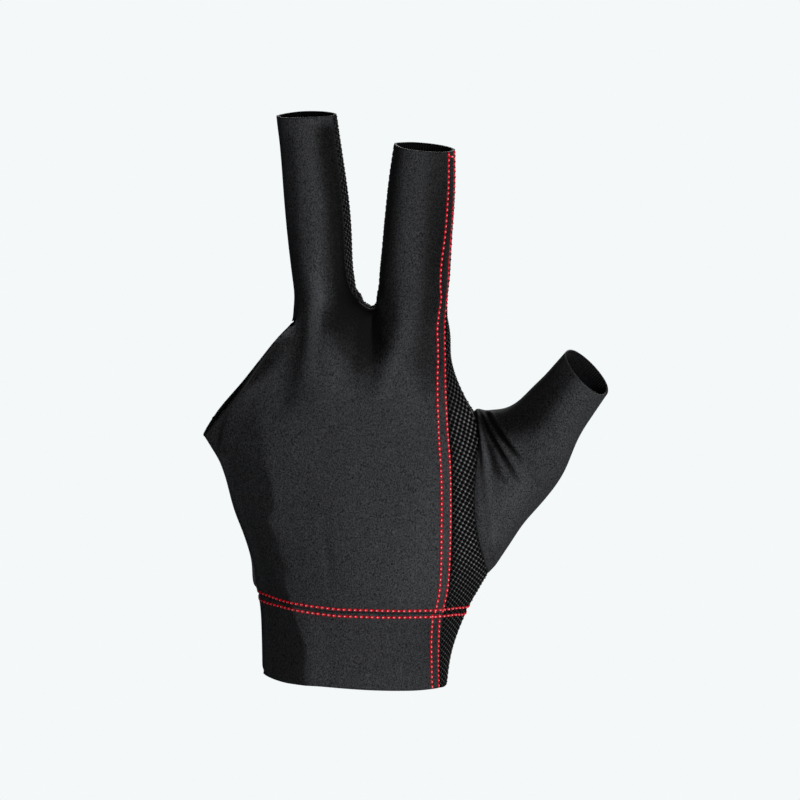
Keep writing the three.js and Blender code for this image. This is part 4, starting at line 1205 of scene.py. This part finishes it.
def sew(name, rows, thread_size, shader):
    """Short threads lying on the surface: each bulges between its two ends, which dip in."""
    width, height, rise, sink, sides, rings = thread_size
    starts, ends, up = (np.array(sum((row[c] for row in rows), [])) for c in range(3))
    along = ends - starts
    length = np.linalg.norm(along, axis=1, keepdims=True)
    along = unit(along)
    up = square_to(up, along)
    across = np.cross(up, along)
    verts = []
    painted_highlight = []
    for s in np.linspace(0, 1, rings):
        swell = math.sqrt(max(1 - abs(2 * s - 1) ** 3, 0.06))
        lift = -sink + (rise + sink) * (1 - (2 * s - 1) ** 2)
        centre = starts + along * length * s + up * lift
        for k in range(sides):
            angle = k / sides * math.tau
            out = across * math.cos(angle) * width / 2 + up * math.sin(angle) * height / 2
            verts.append(centre + out * swell)
            # Each point's share of painted highlight: most on top of the middle, none at the ends.
            painted_highlight.append((1 - (2 * s - 1) ** 2) * (0.45 + 0.55 * max(math.sin(angle), 0)))
    verts = np.stack(verts, 1).reshape(-1, 3)
    faces = repeated(tube_faces(rings, sides), len(starts), rings * sides)
    made = add_object(name, verts, faces, [shader])
    add_attribute(made, "painted_highlight", np.tile(painted_highlight, len(starts)))


def threads_between(starts, ends):
    """Threads' starts and ends, and the surface's normals at their middles."""
    return list(starts), list(ends), [on_surface((a + b) / 2)[1] for a, b in zip(starts, ends)]


def stitch_row(path, pitch, share):
    """One stitch after another along a path."""
    marks = resampled(path, pitch)
    gap = (1 - share) / 2
    step = marks[1:] - marks[:-1]
    return threads_between(marks[:-1] + step * gap, marks[:-1] + step * (1 - gap))


# Red rows up the side seam. A row is a distance from the seam, on the knit's side of it, that
# changes with height.
SIDE_ROWS = table("z near far", [
    (28, 0.8, 3.8), (39, 0.6, 3.6), (53, 0.8, 3.9), (67, 0.7, 3.75), (80, 0.5, 3.8),
    (94, 0.8, 3.9), (108, 0.8, 4), (119, 0.45, 3.4), (123, 0.5, 3.85), (125, 0.6, 4.15),
    (127, 0.85, 4.7), (129, 1.2, 5.5), (131, 1.8, 6.55), (133, 2.25, 7.5), (135.5, 2.8, 8.25),
    (137.5, 3.05, 8.45), (140, 3.05, 8.2), (143, 2.95, 8), (147, 2.85, 7.8), (156, 2.6, 7),
    (170, 2.35, 6.8), (186, 2.5, 6.75),
])
CUFF_SIDE_ROWS = table("z near far", [(0, 0.6, 4.1), (8, 0.8, 3.9), (15, 1.15, 4.3), (26, 2, 4.7)])
ROUND_ROWS = table("x below above", [
    (-33.5, 1.9, -1.25), (-29, 1.8, -1.1), (-25.7, 1.5, -0.95), (-18.8, 1.2, -1.25),
    (-12, 1.2, -1.25), (-5, 1.5, -0.9), (9, 1.6, -0.85), (15.7, 1.4, -0.95), (22.6, 1.2, -1.2),
    (34.7, 1, -1.6), (37.8, 1.55, -1.3),
])

side_up = seam_path("back_panel", "palm_panel", palm_rings[MIDDLE_ROW][SIDE_SEAM])
side_cuff = seam_path("cuff_band_back", "cuff_band_palm", cuff_rings[1][SIDE_SEAM])
red_rows = []
for seam, reach in ((side_up, SIDE_ROWS), (side_cuff, CUFF_SIDE_ROWS)):
    seam = seam if seam[0][2] < seam[-1][2] else seam[::-1]
    for column in ("near", "far"):
        row = beside(seam, lambda place: -np.interp(place[2], reach["z"], reach[column]))
        red_rows.append(stitch_row(row, *RED_ROW))

# Red rows right round the cuff's seam
back_seam = seam_path("back_panel", "cuff_band_back", palm_rings[0][BACK_LINE])
palm_seam = seam_path("palm_panel", "cuff_band_palm", palm_rings[0][PALM_LINE])
cuff_seam = np.concatenate([back_seam, palm_seam[1:]])
for column in ("below", "above"):
    row = beside(cuff_seam, lambda place: np.interp(place[0], ROUND_ROWS["x"], ROUND_ROWS[column]))
    red_rows.append(stitch_row(row, *RED_ROW))
sew("red_seam_stitches", red_rows, RED_THREAD, red)


# A bar of close red stitches that locks both rows under the index finger's mouth
def bar_at(seam, z, reach, pitch):
    k = int(np.argmin(abs(seam[:, 2] - z)))
    bars = []
    for step in np.arange(-1, 2) * pitch:
        place = seam[k] + np.array([0, 0, step])
        bars.append([march(place, np.array([-1.0, 0, 0]), away) for away in reach])
    return threads_between(*zip(*bars))


bar = bar_at(side_up, CROTCH_Z + INDEX["length"] - BAR_BELOW_MOUTH, BAR_REACH, BAR_PITCH)
sew("red_bar_tack", [bar], BAR_THREAD, red)


# Black overlocked seams: a zigzag over the seam, and a chain beside it
def overlock(seam, reach, pitch):
    marks = resampled(seam, pitch)
    sides = [beside(marks, reach), beside(marks, -reach)]
    starts, ends = [], []
    for k in range(len(marks) - 1):
        starts.append(sides[k % 2][k])
        ends.append(sides[(k + 1) % 2][k + 1])
    return threads_between(starts, ends)


fingers = ((index_rings, INDEX), (middle_rings, MIDDLE))
webs = [rings[HALF_WAY_UP][finger["angles"].index("web")] for rings, finger in fingers]
far_side = palm_rings[MIDDLE_ROW][FAR_SEAM]
black_seams = [seam_path("back_panel", "palm_panel", i) for i in (*webs, far_side)]
black_seams.append(seam_path("cuff_band_back", "cuff_band_palm", cuff_rings[1][FAR_SEAM]))
black_rows = [overlock(seam, OVERLOCK_REACH, OVERLOCK_PITCH) for seam in black_seams]
black_rows += [stitch_row(beside(seam, CHAIN_ASIDE), *CHAIN_ROW) for seam in black_seams]
armhole_seam = seam_path("palm_panel", "thumb_sleeve", palm_rings[MIDDLE_ROW][THUMB_SEAM_FRONT])
black_rows.append(stitch_row(armhole_seam, *ARMHOLE_ROW))
sew("black_seam_stitches", black_rows, SEAM_THREAD, thread)


def into_cloth(place, along):
    """The surface's normal at a place on an open edge, and the way from there into the cloth."""
    _, normal = on_surface(place)
    inward = unit(np.cross(normal, along))
    if on_surface(place + inward * 2)[0] @ inward < place @ inward + 0.5:
        inward = -inward
    return normal, inward


# The narrow bound edge of the slanted opening, and the thread that wraps it
def add_binding():
    loop = resampled(surface[slant_loop + slant_loop[:1]], BINDING_STEP)[:-1]
    count = len(loop)
    ways = [into_cloth(place, loop[(k + 1) % count] - loop[k - 1]) for k, place in enumerate(loop)]
    outs, inwards = (np.array(rows) for rows in zip(*ways))
    even = lambda rows: (np.roll(rows, 1, axis=0) + 2 * rows + np.roll(rows, -1, axis=0)) / 4
    for _ in range(6):
        inwards, outs = even(inwards), even(outs)
    for _ in range(3):
        loop = even(loop)
    verts = []
    wraps = ([], [], [])
    for k, place in enumerate(loop):
        along = unit(loop[(k + 1) % count] - loop[k - 1])
        normal = square_to(outs[k], along)
        inward = np.cross(normal, along)
        inward *= np.sign(inward @ inwards[k])
        sunk = KNIT_WALL * (0.5 + 0.6 * smoothstep(place[2], 118, 124))
        middle = place + inward * (BINDING_WIDTH / 2 + 0.15) - normal * sunk
        wave = (1 + 0.07 * math.sin(k * 2.4)) * (1 - 0.7 * smoothstep(place[2], 113, 123))
        for side in range(BINDING_SIDES):
            angle = side / BINDING_SIDES * math.tau
            out = inward * math.cos(angle) * BINDING_WIDTH / 2
            out = out + normal * math.sin(angle) * BINDING_THICKNESS / 2
            verts.append(middle + out * wave)
        for turn in WRAP_TURNS if place[2] < WRAPPED_BELOW else ():
            for end, (on, across, over) in zip(wraps, WRAP_ENDS):
                spot = middle + along * (turn + on) + inward * BINDING_WIDTH * across
                end.append(spot + normal * BINDING_THICKNESS * over)
            wraps[2].append(normal)
    faces = tube_faces(count, BINDING_SIDES, closed=True)
    add_object("opening_binding_edge", verts, faces, [thread], "opening_binding")
    sew("opening_binding_thread", [wraps], BINDING_THREAD, thread)


add_binding()


# Short marks of the hem's stitches inside each mouth
def hem_marks(loop):
    marks = resampled(surface[loop + loop[:1]], HEM_PITCH)[:-1]
    starts, ends, up = [], [], []
    for k, place in enumerate(marks):
        normal, down = into_cloth(place, marks[(k + 1) % len(marks)] - marks[k - 1])
        inside = place - normal * (HEM_WALL + 0.02)
        starts.append(inside + down * HEM_MARK[0])
        ends.append(inside + down * HEM_MARK[1])
        up.append(-normal)
    return starts, ends, up


sew("hem_stitches", [hem_marks(loop) for loop in mouth_loops], HEM_THREAD, thread)


# Knots of the mesh
def knot_spots(panel):
    """Spots of a staggered lattice in a panel's cloth: place, the way out, the way round and how
    far the nearest edge is."""
    chosen = quads[panels == panel_ids[panel]]
    triangles = np.concatenate([chosen[:, [0, 1, 2]], chosen[:, [0, 2, 3]]])
    seen = {}
    spots = []
    for tri in triangles:
        p = surface[tri]
        u = cloth_round[tri] / KNOT_ACROSS
        v = cloth_up[tri] / KNOT_UP
        if u.max() - u.min() > 3 or v.max() - v.min() > 3:
            continue
        area = (u[1] - u[0]) * (v[2] - v[0]) - (u[2] - u[0]) * (v[1] - v[0])
        if abs(area) < 1e-6:
            continue
        for row in range(math.ceil(v.min()), math.floor(v.max()) + 1):
            half = 0.5 * (row % 2)
            for column in range(math.ceil(u.min() - half), math.floor(u.max() - half) + 1):
                x = column + half
                b = ((x - u[0]) * (v[2] - v[0]) - (u[2] - u[0]) * (row - v[0])) / area
                c = ((u[1] - u[0]) * (row - v[0]) - (x - u[0]) * (v[1] - v[0])) / area
                if b < -1e-9 or c < -1e-9 or b + c > 1 + 1e-9:
                    continue
                place = p[0] + b * (p[1] - p[0]) + c * (p[2] - p[0])
                near = seen.setdefault((row, column), [])
                if any(math.dist(place, other) < 0.5 for other in near):
                    continue
                near.append(place)
                shares = np.array([1 - b - c, b, c])
                edge_gap = near_edge[tri] @ shares
                if edge_gap < KNOT_WIDTH / 2:
                    continue
                normal = (normals[tri] * shares[:, None]).sum(0)
                ring = (p[1] - p[0]) * (v[2] - v[0]) - (p[2] - p[0]) * (v[1] - v[0])
                spots.append((place, normal, ring * np.sign(area), edge_gap))
    return [np.array(column) for column in zip(*spots)]


def add_knots(name, panel):
    places, up, across, edge_gap = knot_spots(panel)
    z = places[:, 2]
    # The stretch value sets both each knot's size, as the mesh is stretched, and its painted highlight:
    # brightest mid-way up the front, dimmer towards the top and the cuff, fixed on the back, and dimmed
    # near edges and seams as painted shade.
    in_view = smoothstep(z, *STRETCH_AND_GLINT_SETS_IN) * (1 - smoothstep(z, *STRETCH_AND_GLINT_FADES))
    stretch = np.where(places[:, 1] < 2, 0.25 + 0.75 * in_view, 0.7)
    stretch *= 0.5 + 0.5 * smoothstep(edge_gap, 0.5, 3)
    size = (0.7 + 0.3 * stretch)[:, None]
    up = unit(up)
    across = square_to(across, up)
    along = np.cross(up, across)
    sides = KNOT_SIDES
    verts = []
    for share, lift in ((1, -0.12), (0.72, 0.16)):
        for k in range(sides):
            angle = (k + 0.5 * (share < 1)) / sides * math.tau
            out = across * math.cos(angle) * KNOT_WIDTH + along * math.sin(angle) * KNOT_HEIGHT
            verts.append(places + out * size * share / 2 + up * lift * size)
    verts.append(places + up * KNOT_RISE * size)
    faces = [tuple(range(sides))[::-1]]
    for k in range(sides):
        j = (k + 1) % sides
        faces += [(k, j, sides + k), (j, sides + j, sides + k), (sides + k, sides + j, 2 * sides)]
    each = len(verts)
    verts = np.stack(verts, 1).reshape(-1, 3)
    made = add_object(name, verts, repeated(faces, len(places), each), [knots])
    add_attribute(made, "stretch", np.repeat(stretch, each))


add_knots("palm_mesh_knots", "palm_panel")
add_knots("cuff_mesh_knots", "cuff_band_palm")

for node, (_, _, _, flat, area, sewn_on) in PANELS.items():
    shell = bpy.data.objects[f"{node}_cloth"]

# Stage
scene = bpy.context.scene
scene.view_settings.view_transform = "Standard"
world = bpy.data.worlds.new("studio")
scene.world = world
world.use_nodes = True
world.node_tree.nodes["Background"].inputs["Color"].default_value = (0.9, 0.95, 1, 1)
world.node_tree.nodes["Background"].inputs["Strength"].default_value = 0.08


def add_backdrop():
    """A pale floor and walls round the glove, which light nothing themselves."""
    sides = 48
    profile = [(0, -0.6), (2.4, -0.6), (2.9, -0.45), (3.1, 0), (3.1, 3), (2.4, 4.4), (0, 5)]
    turns = [k / sides * math.tau for k in range(sides)]
    verts = [(r * math.cos(a), r * math.sin(a), z) for r, z in profile[1:-1] for a in turns]
    verts += [(0, 0, profile[0][1]), (0, 0, profile[-1][1])]
    faces = []
    rows = len(profile) - 2
    for k in range(sides):
        j = (k + 1) % sides
        faces.append((len(verts) - 2, k, j))
        faces.append((len(verts) - 1, (rows - 1) * sides + j, (rows - 1) * sides + k))
        for r in range(rows - 1):
            faces.append((r * sides + k, (r + 1) * sides + k, (r + 1) * sides + j, r * sides + j))
    mesh = bpy.data.meshes.new("backdrop")
    mesh.from_pydata(verts, [], faces)
    mesh.shade_smooth()
    paper = bpy.data.materials.new("backdrop_paper")
    paper.use_nodes = True
    tree = paper.node_tree
    tree.nodes.clear()
    glow = tree.nodes.new("ShaderNodeEmission")
    glow.inputs["Color"].default_value = (0.905, 0.938, 0.947, 1)
    out = tree.nodes.new("ShaderNodeOutputMaterial")
    tree.links.new(glow.outputs[0], out.inputs["Surface"])
    mesh.materials.append(paper)
    backdrop = bpy.data.objects.new("backdrop", mesh)
    scene.collection.objects.link(backdrop)
    backdrop.visible_diffuse = False
    backdrop.visible_glossy = False
    backdrop.visible_shadow = False


add_backdrop()

# Camera
VIEW_WIDTH = 0.2762
VIEW_CENTRE = Vector((0.0157, 0.0, 0.0976))
ELEVATION = math.radians(8)
camera_data = bpy.data.cameras.new("camera")
camera_data.sensor_width = 36
camera_data.lens = 200
camera = bpy.data.objects.new("camera", camera_data)
scene.collection.objects.link(camera)
away = Vector((0, -math.cos(ELEVATION), math.sin(ELEVATION)))
camera.location = VIEW_CENTRE + away * (VIEW_WIDTH * camera_data.lens / camera_data.sensor_width)
camera.rotation_euler = (-away).to_track_quat("-Z", "Y").to_euler()
scene.camera = camera


# Lights: what they point at, and each one's name, place, size and power
LIGHT_TARGET = Vector((0.01, 0, 0.1))
LIGHTS = [
    ("key", (0.75, -1.5, 0.1), (0.4, 0.5), 20.5),
    ("side", (1.3, -0.7, -0.15), (0.5, 0.5), 5),
    ("sparkle", (0.1, -1.6, 0.3), (0.1, 0.1), 1.5),
    ("rim", (0.2, 1.4, 0.8), (0.8, 0.5), 8),
]
for name, place, size, power in LIGHTS:
    data = bpy.data.lights.new(name, "AREA")
    data.shape = "RECTANGLE"
    data.size, data.size_y = size
    data.energy = power
    light = bpy.data.objects.new(name, data)
    scene.collection.objects.link(light)
    light.location = Vector(place)
    light.rotation_euler = (LIGHT_TARGET - Vector(place)).to_track_quat("-Z", "Y").to_euler()
    light.visible_camera = False
